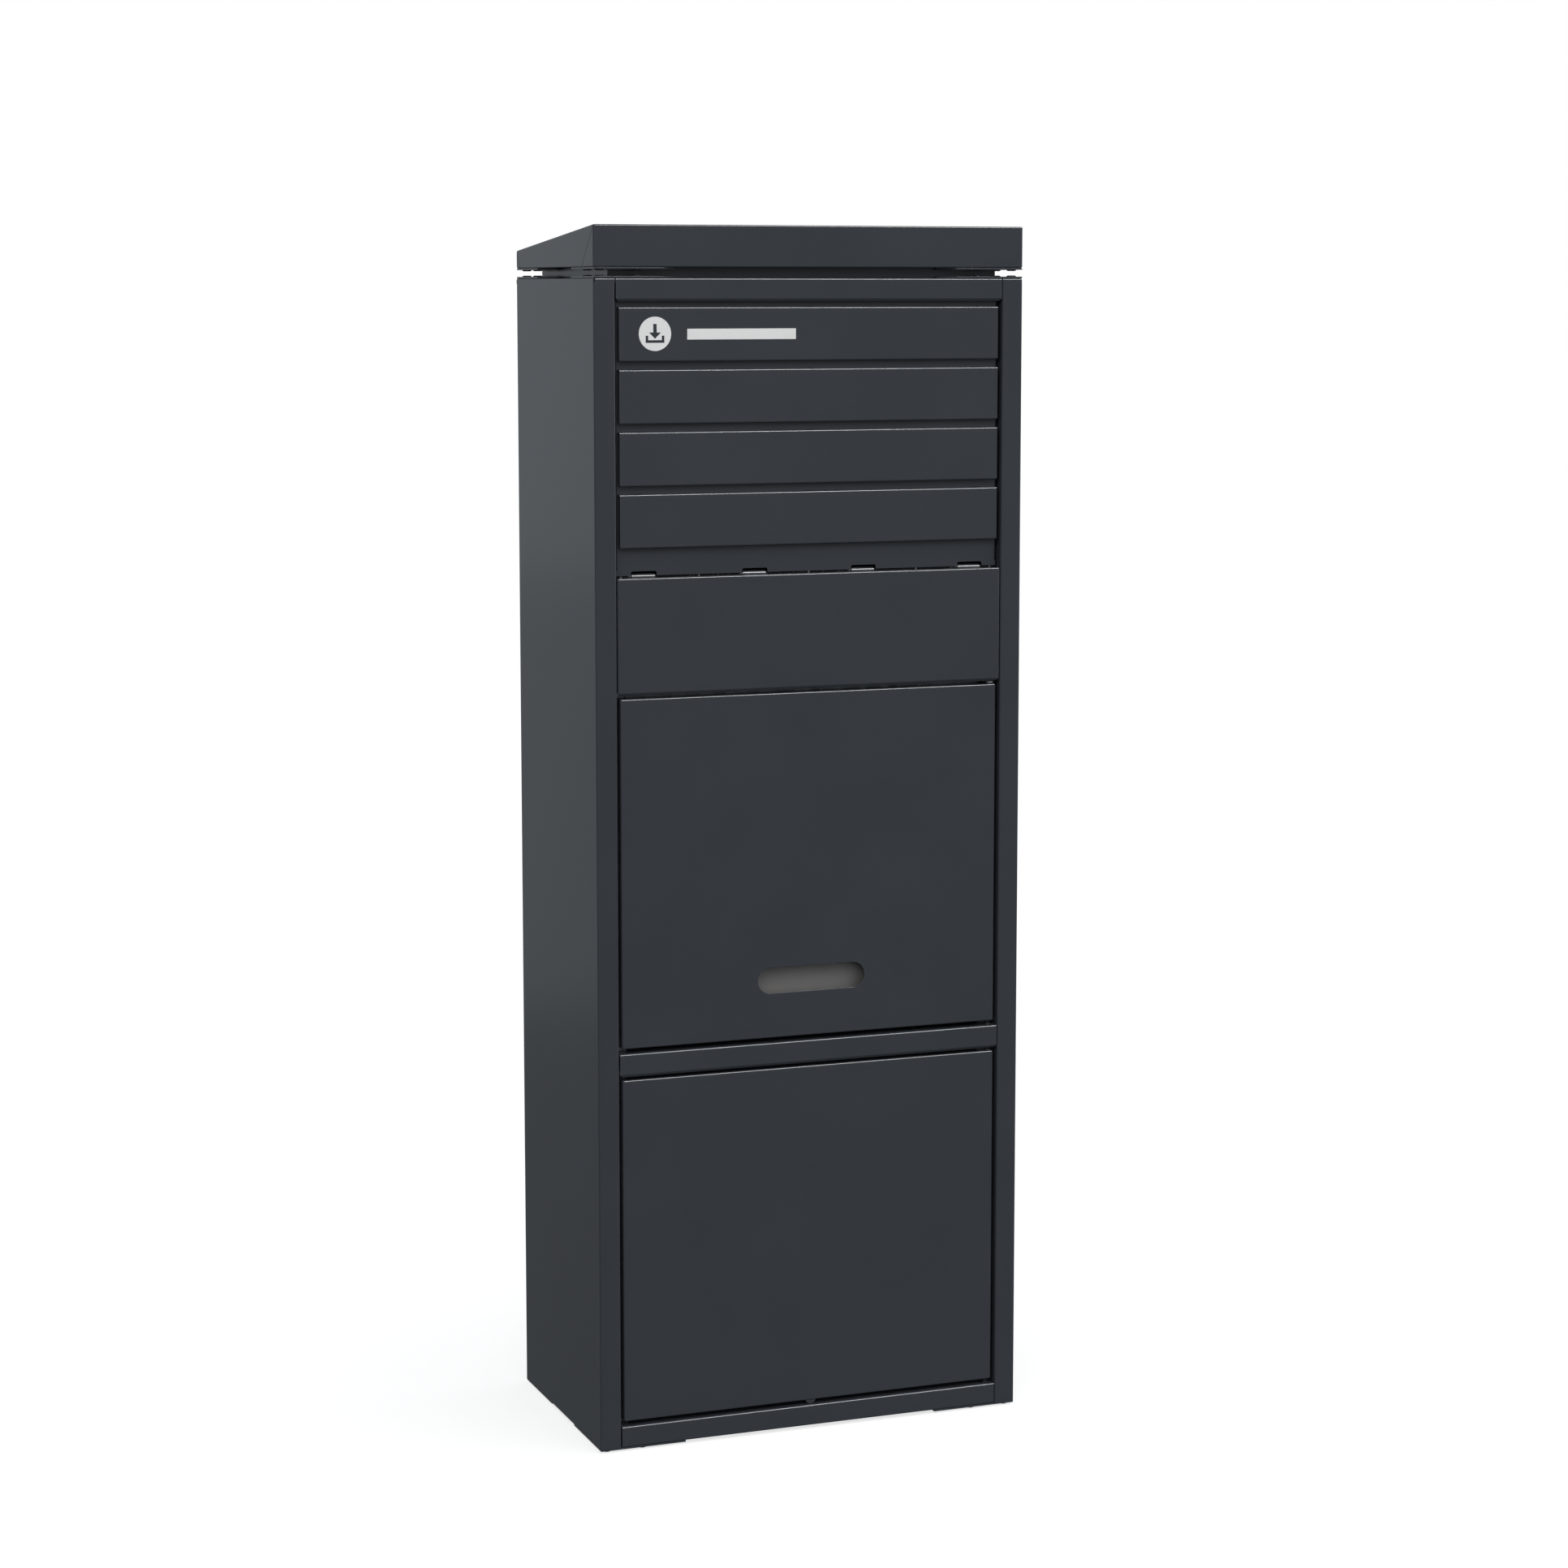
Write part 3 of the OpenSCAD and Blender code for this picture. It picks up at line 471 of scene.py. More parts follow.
def slot_prism(near, far, steps=24):
    """A prism with the pull slot's outline, between two depths."""
    radius = (slot_high - slot_low) / 2
    centre = (slot_high + slot_low) / 2
    outline = []
    for side in (1, -1):
        for step in range(steps + 1):
            angle = math.pi * (step / steps - 0.5)
            outline.append((side * (slot_half - radius + radius * math.cos(angle)),
                            centre + side * radius * math.sin(angle)))
    builder = bmesh.new()
    rings = [[builder.verts.new((x, depth, z)) for x, z in outline] for depth in (near, far)]
    for ring in rings:
        builder.faces.new(ring)
    for i, (a, b) in enumerate(zip(*rings)):
        next_a, next_b = rings[0][(i + 1) % len(outline)], rings[1][(i + 1) % len(outline)]
        builder.faces.new((a, next_a, next_b, b))
    bmesh.ops.recalc_face_normals(builder, faces=builder.faces)
    return new_piece("slot_punch", builder)


def door_pan(node, slotted):
    low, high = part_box(node)
    panels = [BOX_PANELS[side] for side in ("front", "left", "right", "top", "bottom")]
    piece = paper_model(node + "_pan", box_corners(low, high), panels)
    punch = cut(piece, slot_prism(low.y - PUNCH_REACH, low.y + PUNCH_REACH)) if slotted else None
    ease_edges(piece, SLOT_EDGE if slotted else EDGE)
    hand_over(piece, node)
    if punch:
        bpy.data.objects.remove(punch)


door_pan("middle_door_skin", True)
door_pan("lower_door_skin", False)
cup = paper_model("finger_cup_pressing", box_corners(cup_low, cup_high),
                  [BOX_PANELS[side] for side in ("back", "left", "right", "top", "bottom")],
                  fold=CUP_CORNER)
ease_edges(cup, EDGE)
hand_over(cup, "finger_cup")
print("slot:", round(slot_half * 2 / MM), "by", round((slot_high - slot_low) / MM), "mm")

# %% [markdown]
# ## Rails and flap
#
# The three rails and the flap have almost the same section: a return at the top, a flat face, and at the
# bottom a short sloped lip that turns back under it and sheds the rain. The lip is mitred at its ends. The
# flap has sides as well. One function makes all four: a rail is a flap without sides, and the bottom rail
# has no lip.

# %% Rails and flap
LIP_RISE, LIP_RUN = 3.3 * MM, 2.6 * MM
FLAP_TOP_DEPTH, FLAP_LIP_DEPTH, FLAP_SIDE_DEPTH = 5 * MM, 10 * MM, 14 * MM
RAIL_LIP_DEPTH, LIP_CLEARANCE = 15 * MM, 0.3 * MM


def lipped_rail(node, top_depth, lip_depth, side_depth=0.0, rise=LIP_RISE, run=LIP_RUN):
    low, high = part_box(node)
    x, y, top, bottom = high.x, low.y, high.z, low.z
    corners, panels = [], []

    def row(inset, depth, height):
        corners.extend([(-x + inset, y + depth, height), (x - inset, y + depth, height)])
        return len(corners) - 2

    face_top = row(0.0, 0.0, top)
    face_low = row(0.0, 0.0, bottom + rise)
    panels.append((face_top, face_top + 1, face_low + 1, face_low))
    back_top = row(0.0, top_depth, top)
    panels.append((face_top, face_top + 1, back_top + 1, back_top))
    under = face_low
    if rise:
        under = row(rise, run, bottom)
        panels.append((face_low, face_low + 1, under + 1, under))
    back_low = row(rise, lip_depth, bottom)
    panels.append((under, under + 1, back_low + 1, back_low))
    if side_depth:
        slope_end = row(0.0, side_depth, top - (side_depth - top_depth))
        side_low = row(0.0, side_depth, bottom + rise + FOLD)
        for end in (0, 1):
            panels.append((face_top + end, back_top + end, slope_end + end, side_low + end, face_low + end))
    piece = paper_model(node + "_folded", corners, panels)
    ease_edges(piece, EDGE)
    return hand_over(piece, node)


rail_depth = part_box("mid_rail")[1].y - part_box("mid_rail")[0].y
lip_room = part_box("head_panel")[0].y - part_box("top_rail")[0].y
lipped_rail("top_rail", rail_depth, lip_room - LIP_CLEARANCE)
lipped_rail("mid_rail", rail_depth, RAIL_LIP_DEPTH)
lipped_rail("bottom_rail", rail_depth, RAIL_LIP_DEPTH, rise=0.0)
lipped_rail("flap_skin", FLAP_TOP_DEPTH, FLAP_LIP_DEPTH, FLAP_SIDE_DEPTH)
print("rails and flap:", {name: count for name, count in triangles_made.items() if "folded" in name})

# %% [markdown]
# ## The roof
#
# The roof is a shallow lid that slopes to the back: a top, four skirts, and a flange turned in under them
# that sits on the neck. As a paper model that is nine panels. The front and back skirts lap round the
# sides, and the lap shows as a hairline that runs down each side skirt at a slant. Four thin blades cut
# those lines 0.3 mm deep.

# %% The roof
FLANGE_IN, BACK_SKIRT = 23.7 * MM, 20.8 * MM
SEAM_WIDTH, SEAM_DEPTH = 0.5 * MM, 0.3 * MM
FRONT_LAP, BACK_LAP = 44 * MM, 17 * MM
roof_low, roof_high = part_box("roof_cap")


def roof_blade(side, y, top, lean):
    """A thin blade against one side skirt, from a top corner down to the bottom edge, so far along Y."""
    x = roof_high.x * side
    start, end = Vector((x, y, top)), Vector((x, y + lean, roof_low.z - 2 * MM))
    across = (end - start).normalized().cross(Vector((1, 0, 0))) * SEAM_WIDTH / 2
    into, out = Vector((-side * SEAM_DEPTH, 0, 0)), Vector((side * MM, 0, 0))
    builder = bmesh.new()
    for point in (start, end):
        for sideways in (-1, 1):
            for depth in (into, out):
                builder.verts.new(point + across * sideways + depth)
    bmesh.ops.convex_hull(builder, input=builder.verts)
    bmesh.ops.recalc_face_normals(builder, faces=builder.faces)
    return new_piece("seam_blade", builder)


def roof_lid():
    low, high = roof_low, roof_high
    back_top = low.z + BACK_SKIRT
    corners = box_corners(low, high)
    corners[6:8] = [(low.x, high.y, back_top), (high.x, high.y, back_top)]
    corners += [(x, y, low.z) for y in (low.y + FLANGE_IN, high.y - FLANGE_IN)
                for x in (low.x + FLANGE_IN, high.x - FLANGE_IN)]
    panels = [BOX_PANELS[side] for side in ("top", "front", "back", "left", "right")]
    panels += [(0, 1, 9, 8), (1, 3, 11, 9), (3, 2, 10, 11), (2, 0, 8, 10)]
    piece = paper_model("roof_lid", corners, panels)
    blades = []
    for side in (-1, 1):
        blades.append(cut(piece, roof_blade(side, low.y + FOLD / 2, high.z - FOLD, FRONT_LAP)))
        blades.append(cut(piece, roof_blade(side, high.y - FOLD / 2, back_top - FOLD, -BACK_LAP)))
    ease_edges(piece, EDGE)
    hand_over(piece, "roof_cap")
    for blade in blades:
        bpy.data.objects.remove(blade)


roof_lid()
print("roof:", triangles_made["roof_lid"], "triangles")

# %% [markdown]
# ## Geometry Nodes: three trees for what repeats
#
# The rest of the front follows rules. The slats are one folded section at a fixed pitch, the seals and the
# lock lead are one profile along a route, and the screws are one part at many places. Each rule is a small
# Geometry Nodes tree with its sizes as named inputs. The object that carries the modifier holds only the
# thing that the rule starts from: a section, a route or a set of points. A helper builds an empty tree,
# and another sets a modifier's inputs by the identifier of each socket.

# %% Helpers for the trees
NUMBER, WHOLE, ARROW = "NodeSocketFloat", "NodeSocketInt", "NodeSocketVector"
STOCK, COAT = "NodeSocketObject", "NodeSocketMaterial"


def new_tree(name, inputs):
    """An empty Geometry Nodes tree with these named inputs. Returns it and its inputs' sockets."""
    tree = bpy.data.node_groups.new(name, "GeometryNodeTree")
    tree.interface.new_socket("Start", in_out="INPUT", socket_type="NodeSocketGeometry")
    for label, kind in inputs.items():
        tree.interface.new_socket(label, in_out="INPUT", socket_type=kind)
    tree.interface.new_socket("Result", in_out="OUTPUT", socket_type="NodeSocketGeometry")
    return tree, add(tree, "NodeGroupInput").outputs


def end_tree(tree, geometry, material):
    real = add(tree, "GeometryNodeRealizeInstances", {"Geometry": geometry})
    coated = add(tree, "GeometryNodeSetMaterial", {"Geometry": real.outputs[0], "Material": material})
    add(tree, "NodeGroupOutput", {"Result": coated.outputs[0]})
    return tree


def grow(piece, tree, node, **values):
    """Adds a tree to a piece and sets its inputs. Spaces in an input's name are written as _ here."""
    modifier = piece.modifiers.new(tree.name, "NODES")
    modifier.node_group = tree
    named = {item.name: item.identifier for item in tree.interface.items_tree if item.in_out == "INPUT"}
    modifier[named["Finish"]] = finish[slot_of[node]]
    for label, value in values.items():
        modifier[named[label.replace("_", " ")]] = value


def wire(name, points, closed=False):
    """An object that is only a line through some points: a section or a route."""
    builder = bmesh.new()
    dots = [builder.verts.new(point) for point in points]
    for a, b in zip(dots, dots[1:] + dots[:1] if closed else dots[1:]):
        builder.edges.new((a, b))
    return new_piece(name, builder)


# %% [markdown]
# ## Slats and knuckles
#
# The first tree folds a strip. It rounds the corners of a section, draws it out along a run, and repeats
# the strip at a step. Four slats need three numbers beyond their section. The knuckles of the flap are
# strips too: a leaf under the flap's top return whose end is rolled round the rod. Rounding the corners of
# a square by half its side gives a circle, so that section needs only seven points.

# %% Slats and knuckles
def folded_strip_tree():
    tree, size = new_tree("folded_strips", {"Fold": NUMBER, "Run": ARROW, "Number": WHOLE, "Step": ARROW,
                                            "Finish": COAT})
    section = add(tree, "GeometryNodeMeshToCurve", {"Mesh": size["Start"]})
    rounded = add(tree, "GeometryNodeFilletCurve", {"Curve": section.outputs[0], "Count": FOLD_STEPS,
                                                    "Radius": size["Fold"], "Limit Radius": True},
                  mode="POLY")
    line = add(tree, "GeometryNodeCurveToMesh", {"Curve": rounded.outputs[0]})
    clean = add(tree, "GeometryNodeMergeByDistance", {"Geometry": line.outputs[0], "Distance": 0.01 * MM})
    strip = add(tree, "GeometryNodeExtrudeMesh", {"Mesh": clean.outputs[0], "Offset": size["Run"],
                                                  "Offset Scale": 1.0}, mode="EDGES")
    places = add(tree, "GeometryNodeMeshLine", {"Count": size["Number"], "Offset": size["Step"]},
                 mode="OFFSET")
    row = add(tree, "GeometryNodeInstanceOnPoints", {"Points": places.outputs[0],
                                                     "Instance": strip.outputs[0]})
    return end_tree(tree, row.outputs[0], size["Finish"])


def strips(name, section, fold, run, number, step, thickness, nodes):
    piece = wire(name, section)
    grow(piece, folded_strips, nodes[0], Fold=fold - thickness / 2, Run=run, Number=number, Step=step)
    wall = piece.modifiers.new("sheet", "SOLIDIFY")
    wall.thickness = thickness
    wall.offset = 0.0
    settle(piece)
    ease_edges(piece, EDGE)
    return hand_over(piece, *nodes)


folded_strips = folded_strip_tree()
slats = ["slat_1", "slat_2", "slat_3", "slat_4"]
low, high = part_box(slats[0])
LOWER_RETURN = 4.5 * MM
pitch = high.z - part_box(slats[1])[1].z
half = SHEET / 2
head_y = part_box("head_panel")[0].y
slat_section = [(low.x, head_y, high.z - half), (low.x, low.y + half, high.z - half),
                (low.x, low.y + half, low.z + half), (low.x, low.y + LOWER_RETURN, low.z + half)]
strips("slat_row", slat_section, FOLD, (high.x - low.x, 0, 0), len(slats), (0, 0, -pitch), SHEET, slats)

KNUCKLES, KNUCKLE_PITCH, KNUCKLE_WIDTH = 4, 133 * MM, 28 * MM
rod_low, rod_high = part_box("flap_rod")
rod_y, rod_z = (rod_low.y + rod_high.y) / 2, (rod_low.z + rod_high.z) / 2
knuckle_low, knuckle_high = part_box("flap_knuckles")
leaf = 1.2 * MM
eye = knuckle_high.z - rod_z - leaf / 2
leaf_z = rod_z - SHEET - leaf / 2
eye_section = [(knuckle_low.x, y, z) for y, z in (
    (knuckle_low.y, leaf_z), (rod_y - 2 * eye, leaf_z), (rod_y - eye, rod_z - eye),
    (rod_y + eye, rod_z - eye), (rod_y + eye, rod_z + eye), (rod_y - eye, rod_z + eye),
    (rod_y - eye, rod_z - leaf))]
strips("flap_knuckle_row", eye_section, eye + leaf / 2, (KNUCKLE_WIDTH, 0, 0), KNUCKLES,
       (KNUCKLE_PITCH, 0, 0), leaf, ["flap_knuckles"])
print("slat pitch:", round(pitch / MM, 2), "mm; knuckle eye's radius:", round(eye / MM, 2), "mm")

# %% [markdown]
# ## Seals and the lock lead
#
# The second tree pulls a profile along a route. A door seal is a hollow bulb that is squashed flat
# against the door's liner, so its profile is a low rounded rectangle and its route goes round the door
# with tight corners. The lead to the locks is a round cable, which a fitter bends by hand round a radius of
# a few diameters. A rounded rectangle as high as it is wide, rounded by half its width, is a circle, so
# one tree serves for both.

# %% Seals and the lock lead
def swept_profile_tree():
    tree, size = new_tree("swept_profile", {"Width": NUMBER, "Height": NUMBER, "Round": NUMBER,
                                            "Bend": NUMBER, "Finish": COAT})
    route = add(tree, "GeometryNodeMeshToCurve", {"Mesh": size["Start"]})
    bent = add(tree, "GeometryNodeFilletCurve", {"Curve": route.outputs[0], "Count": 10,
                                                 "Radius": size["Bend"], "Limit Radius": True}, mode="POLY")
    outline = add(tree, "GeometryNodeCurvePrimitiveQuadrilateral", {"Width": size["Width"],
                                                                    "Height": size["Height"]})
    profile = add(tree, "GeometryNodeFilletCurve", {"Curve": outline.outputs[0], "Count": 5,
                                                    "Radius": size["Round"], "Limit Radius": True},
                  mode="POLY")
    pulled = add(tree, "GeometryNodeCurveToMesh", {"Curve": bent.outputs[0],
                                                   "Profile Curve": profile.outputs[0], "Fill Caps": True})
    return end_tree(tree, pulled.outputs[0], size["Finish"])


def swept(name, route, closed, width, height, bend, node):
    piece = wire(name, route, closed)
    grow(piece, swept_profile, node, Width=width, Height=height, Round=min(width, height) * 0.49, Bend=bend)
    settle(piece)
    builder = bmesh.new()
    builder.from_mesh(piece.data)
    bmesh.ops.remove_doubles(builder, verts=builder.verts, dist=0.01 * MM)
    bmesh.ops.recalc_face_normals(builder, faces=builder.faces)
    builder.to_mesh(piece.data)
    builder.free()
    return hand_over(piece, node)


swept_profile = swept_profile_tree()
SEAL_BAND, SEAL_BEND = 4.5 * MM, 5 * MM
for seal in ("middle_door_seal", "lower_door_seal"):
    low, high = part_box(seal)
    inset, depth = SEAL_BAND / 2, (low.y + high.y) / 2
    route = [(x, depth, z) for x, z in ((low.x + inset, low.z + inset), (high.x - inset, low.z + inset),
                                        (high.x - inset, high.z - inset), (low.x + inset, high.z - inset))]
    swept(seal + "_bulb", route, True, high.y - low.y, SEAL_BAND, SEAL_BEND, seal)
print("seal section:", round((high.y - low.y) / MM, 2), "by", round(SEAL_BAND / MM, 2), "mm")

# %% [markdown]
# The lead has two branches, and a curve can't fork, so the branch to the middle lock is a piece of its
# own. It starts inside the main lead, where a fitter would join it.

# %% The lock lead
LEAD_RADIUS = 2.5 * MM
LEAD_BEND = 20 * MM
LEAD_BELOW_BAY = 30 * MM
low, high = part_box("lock_cable")
side_x, drop_x, lead_y = low.x + LEAD_RADIUS, high.x - LEAD_RADIUS, high.y - LEAD_RADIUS
run_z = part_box("battery_pack")[0].z - SHEET - LEAD_BELOW_BAY


def lock_height(node):
    return (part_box(node)[0].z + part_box(node)[1].z) / 2


lower_z, middle_z = lock_height("lower_lock_body"), lock_height("middle_lock_body")
round_lead = {"closed": False, "width": 2 * LEAD_RADIUS, "height": 2 * LEAD_RADIUS, "bend": LEAD_BEND}
swept("lower_lock_lead", [(drop_x, lead_y, high.z), (drop_x, lead_y, run_z), (side_x, lead_y, run_z),
                          (side_x, lead_y, lower_z), (side_x, low.y, lower_z)], node="lock_cable",
      **round_lead)
swept("middle_lock_lead", [(side_x, lead_y, middle_z + 2 * LEAD_BEND), (side_x, lead_y, middle_z),
                           (side_x, low.y, middle_z)], node="lock_cable", **round_lead)
print("lead drops", round((high.z - lower_z) / MM), "mm from the controller to the lower lock")

# %% [markdown]
# ## Screws, rivets and buffers
#
# The third tree puts one turned part at many places. The places aren't typed in: each fastener is a
# separate solid in its CAD node, so a search for connected vertices finds them all, and the middle of each
# is where the new one goes. The part itself is turned like on a lathe, ring by ring. A ring may have six
# flats instead of being round, which makes the socket for the key. No fitter lines up the sockets, so a
# random turn with a fixed seed is given to each.

# %% Screws, rivets and buffers
def fasteners_tree():
    tree, size = new_tree("fasteners_at_places", {"Part": STOCK, "Turn": ARROW, "Size": NUMBER,
                                                  "Spin": NUMBER, "Seed": WHOLE, "Finish": COAT})
    part = add(tree, "GeometryNodeObjectInfo", {"Object": size["Part"]})
    chance = add(tree, "FunctionNodeRandomValue", {2: 0.0, 3: size["Spin"], 8: size["Seed"]},
                 data_type="FLOAT")
    about_z = add(tree, "ShaderNodeCombineXYZ", {"Z": chance.outputs[1]})
    set_down = add(tree, "GeometryNodeInstanceOnPoints", {"Points": size["Start"], "Scale": size["Size"],
                                                          "Instance": part.outputs["Geometry"],
                                                          "Rotation": size["Turn"]})
    turned_in = add(tree, "GeometryNodeRotateInstances", {"Instances": set_down.outputs[0],
                                                          "Rotation": about_z.outputs[0],
                                                          "Local Space": True})
    return end_tree(tree, turned_in.outputs[0], size["Finish"])


def turned(name, outline, sides=36):
    """A turned part round Z. Each point of its outline is (radius, height), or (radius, height, 6)."""
    builder = bmesh.new()
    rings = []
    for radius, height, *flats in outline:
        ring = []
        for step in range(sides):
            angle = math.tau * step / sides
            reach = radius
            if flats:
                sector = math.tau / flats[0]
                reach *= math.cos(sector / 2) / math.cos(angle % sector - sector / 2)
            ring.append(builder.verts.new((reach * MM * math.cos(angle), reach * MM * math.sin(angle),
                                           height * MM)))
        rings.append(ring)
    for lower, upper in zip(rings, rings[1:]):
        for i in range(sides):
            j = (i + 1) % sides
            builder.faces.new((lower[i], lower[j], upper[j], upper[i]))
    builder.faces.new(rings[0])
    builder.faces.new(rings[-1])
    bmesh.ops.recalc_face_normals(builder, faces=builder.faces)
    return new_piece(name, builder)


def islands(node):
    """The separate solids of a CAD node, each as its lowest and highest corner."""
    builder = welded_copy(node)
    unseen, found = set(builder.verts), []
    while unseen:
        edge_of_search, solid = [unseen.pop()], []
        while edge_of_search:
            vertex = edge_of_search.pop()
            solid.append(vertex.co.copy())
            near = {edge.other_vert(vertex) for edge in vertex.link_edges} & unseen
            unseen -= near
            edge_of_search.extend(near)
        found.append((Vector(map(min, zip(*solid))), Vector(map(max, zip(*solid)))))
    builder.free()
    return sorted(found, key=lambda pair: tuple(pair[0]))


def set_fasteners(name, part, places, turn, node, size=1.0, spin=math.tau, seed=7):
    """One piece with a fastener at every place."""
    builder = bmesh.new()
    for place in places:
        builder.verts.new(place)
    piece = new_piece(name, builder)
    grow(piece, fasteners_at_places, node, Part=part, Turn=turn, Size=size, Spin=spin, Seed=seed)
    settle(piece)
    piece.modifiers.new("flat_faces", "WEIGHTED_NORMAL").keep_sharp = True
    return piece


def fasten(name, part, places, turn, node):
    hand_over(set_fasteners(name, part, places, turn, node), node)


fasteners_at_places = fasteners_tree()
HEAD_DOWN, HEAD_UP = (math.pi, 0.0, 0.0), (0.0, 0.0, 0.0)
HEAD_FRONT, HEAD_RIGHT = (math.pi / 2, 0.0, 0.0), (0.0, math.pi / 2, 0.0)
SHANK = 6.5


def socket_screw(head):
    """A low screw with a socket for a hexagon key. Its head stands this many millimetres over Z = 0."""
    return turned("socket_screw", [(2.3, -SHANK), (2.9, 0.6 - SHANK), (2.9, 0.0), (5.35, 0.0),
                                   (5.5, 0.08 * head), (5.4, 0.32 * head), (4.9, 0.72 * head),
                                   (4.5, 0.92 * head), (4.1, head), (2.5, head, 6),
                                   (2.3, 0.92 * head, 6), (2.3, 0.4 * head, 6), (0.4, 0.3 * head)])


blind_rivet = turned("blind_rivet", [(2.2, 0.0), (2.4, 0.2), (2.4, 3.0), (3.5, 3.0), (3.6, 3.15),
                                     (3.3, 3.8), (2.5, 4.3), (1.3, 4.4), (1.1, 4.2), (1.0, 3.7)], 28)


def head_height(pair):
    return pair[1].z - pair[0].z - SHANK * MM


def centre_at(pair, z):
    return ((pair[0].x + pair[1].x) / 2, (pair[0].y + pair[1].y) / 2, z)


def back_of(pair):
    return ((pair[0].x + pair[1].x) / 2, pair[1].y, (pair[0].z + pair[1].z) / 2)


feet, plates = islands("foot_screws"), islands("plate_screws")
foot_screw, plate_screw = (socket_screw(head_height(pairs[0]) / MM) for pairs in (feet, plates))
fasten("foot_socket_screws", foot_screw,
       [centre_at(pair, pair[0].z + head_height(pair)) for pair in feet], HEAD_DOWN, "foot_screws")
gap_middle = sum(pair[0].z + pair[1].z for pair in plates) / (2 * len(plates))
upper = [pair for pair in plates if pair[0].z + pair[1].z > 2 * gap_middle]
lower = [pair for pair in plates if pair not in upper]
fasten("roof_socket_screws", plate_screw,
       [centre_at(pair, pair[0].z + head_height(pair)) for pair in upper], HEAD_DOWN, "plate_screws")
fasten("top_socket_screws", plate_screw,
       [centre_at(pair, pair[1].z - head_height(pair)) for pair in lower], HEAD_UP, "plate_screws")
back_rivets = [back_of(pair) for pair in islands("rivets")]
fasten("back_rivets", blind_rivet, back_rivets, HEAD_FRONT, "rivets")

RIBS, RIB_STEPS, RIB_HEIGHT = 5, 8, 0.9
buffers = islands("flap_buffers")
length = (buffers[0][1].y - buffers[0][0].y) / MM
radius = (buffers[0][1].z - buffers[0][0].z) / (2 * MM)
ribbed = [(radius - 1.2, 0.0)]
for step in range(RIBS * RIB_STEPS + 1):
    ribbed.append((radius - RIB_HEIGHT / 2 * (1 - math.cos(math.tau * step / RIB_STEPS)),
                   0.5 + (length - 2.0) * step / (RIBS * RIB_STEPS)))
ribbed += [(radius - 0.6, length - 0.5), (radius - 1.8, length)]
rubber_buffer = turned("rubber_buffer", ribbed)
fasten("flap_ribbed_buffers", rubber_buffer, [back_of(pair) for pair in buffers], HEAD_FRONT,
       "flap_buffers")
print("screws:", len(feet) + len(plates), "rivets:", len(back_rivets), "buffers:", len(buffers))

# %% [markdown]
# The slats hang in the panel behind them by small tabs, three on each. They are fasteners too, in a way:
# one block at twelve places, with no random turn.

# %% Slat tabs
TAB_PITCH, TAB_WIDTH, TAB_REACH, TAB_ROOT = 206 * MM, 10 * MM, 2.5 * MM, 2 * MM
builder = bmesh.new()
bmesh.ops.create_cube(builder, size=1.0, matrix=Matrix.Diagonal((TAB_WIDTH, TAB_REACH + TAB_ROOT, SHEET, 1)))
slat_tab = new_piece("slat_tab", builder)
ease_edges(slat_tab, EDGE)
settle(slat_tab)
tab_y = head_y + (TAB_REACH - TAB_ROOT) / 2
tab_places = [(side * TAB_PITCH, tab_y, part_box(slat)[1].z - half) for slat in slats for side in (-1, 0, 1)]
tabs = set_fasteners("slat_tabs", slat_tab, tab_places, HEAD_UP, slats[0], spin=0.0)
settle(tabs)
dress(tabs, "powder_coat", body_of[slats[0]])
print("tabs:", len(tab_places))

# %% [markdown]
# ## Locks and controller
#
# The locks and the controller are moulded cases in two halves. What makes a block look like a case is the
# round of its edges and the screws that hold its lid, so each body gets an eased copy of its frame part,
# and four small screws stand at the corners of its lid.

# %% Locks and controller
LID_SCREW_SIZE = 0.5
CASE_EDGE, BATTERY_EDGE = 1.2 * MM, 3.0 * MM
LID_INSET = 6.5 * MM


def lid_screws(node, turn):
    """Four small screws on a case: on its right face, or on its front one."""
    low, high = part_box(node)
    heights = (low.z + LID_INSET, high.z - LID_INSET)
    if turn == HEAD_RIGHT:
        places = [(high.x, y, z) for y in (low.y + LID_INSET, high.y - LID_INSET) for z in heights]
    else:
        places = [(x, low.y, z) for x in (low.x + 2 * LID_INSET, high.x - 2 * LID_INSET)
                  for z in (heights[0] + LID_INSET, heights[1] - LID_INSET)]
    piece = set_fasteners(node + "_lid_screws", plate_screw, places, turn, "plate_screws", LID_SCREW_SIZE)
    settle(piece)
    dress(piece, "black_oxide_screws", body_of[node])


for case in ("middle_lock_body", "lower_lock_body", "controller_box"):
    eased_copy(case, CASE_EDGE, 3)
    lid_screws(case, HEAD_FRONT if case == "controller_box" else HEAD_RIGHT)
eased_copy("battery_pack", BATTERY_EDGE, 4)
for part in (foot_screw, plate_screw, blind_rivet, rubber_buffer, slat_tab):
    bpy.data.objects.remove(part)

# %% [markdown]
# ## Everything else
#
# What is left has the right shape already: panels, shelves, brackets, pins, bushes, plates and the films.
# Each gets an eased copy. Steel has its deburred edge, moulded parts a slightly larger one, and the film,
# which is only 0.4 mm thick, a very small one.

# %% Everything else
FILM_EDGE, MOULDED_EDGE = 0.06 * MM, 0.3 * MM
edge_for = {"white_film": FILM_EDGE, "moulded_nylon": MOULDED_EDGE, "epdm_rubber": MOULDED_EDGE}
replaced = {node for piece in scene.objects for node in piece.get("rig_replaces", [])}
for node in sorted(set(frame["nodes"]) - replaced):
    eased_copy(node, edge_for.get(slot_of[node], EDGE))
print("pieces:", len(triangles_made), "triangles:", sum(triangles_made.values()),
      "largest:", max(triangles_made, key=triangles_made.get), max(triangles_made.values()))

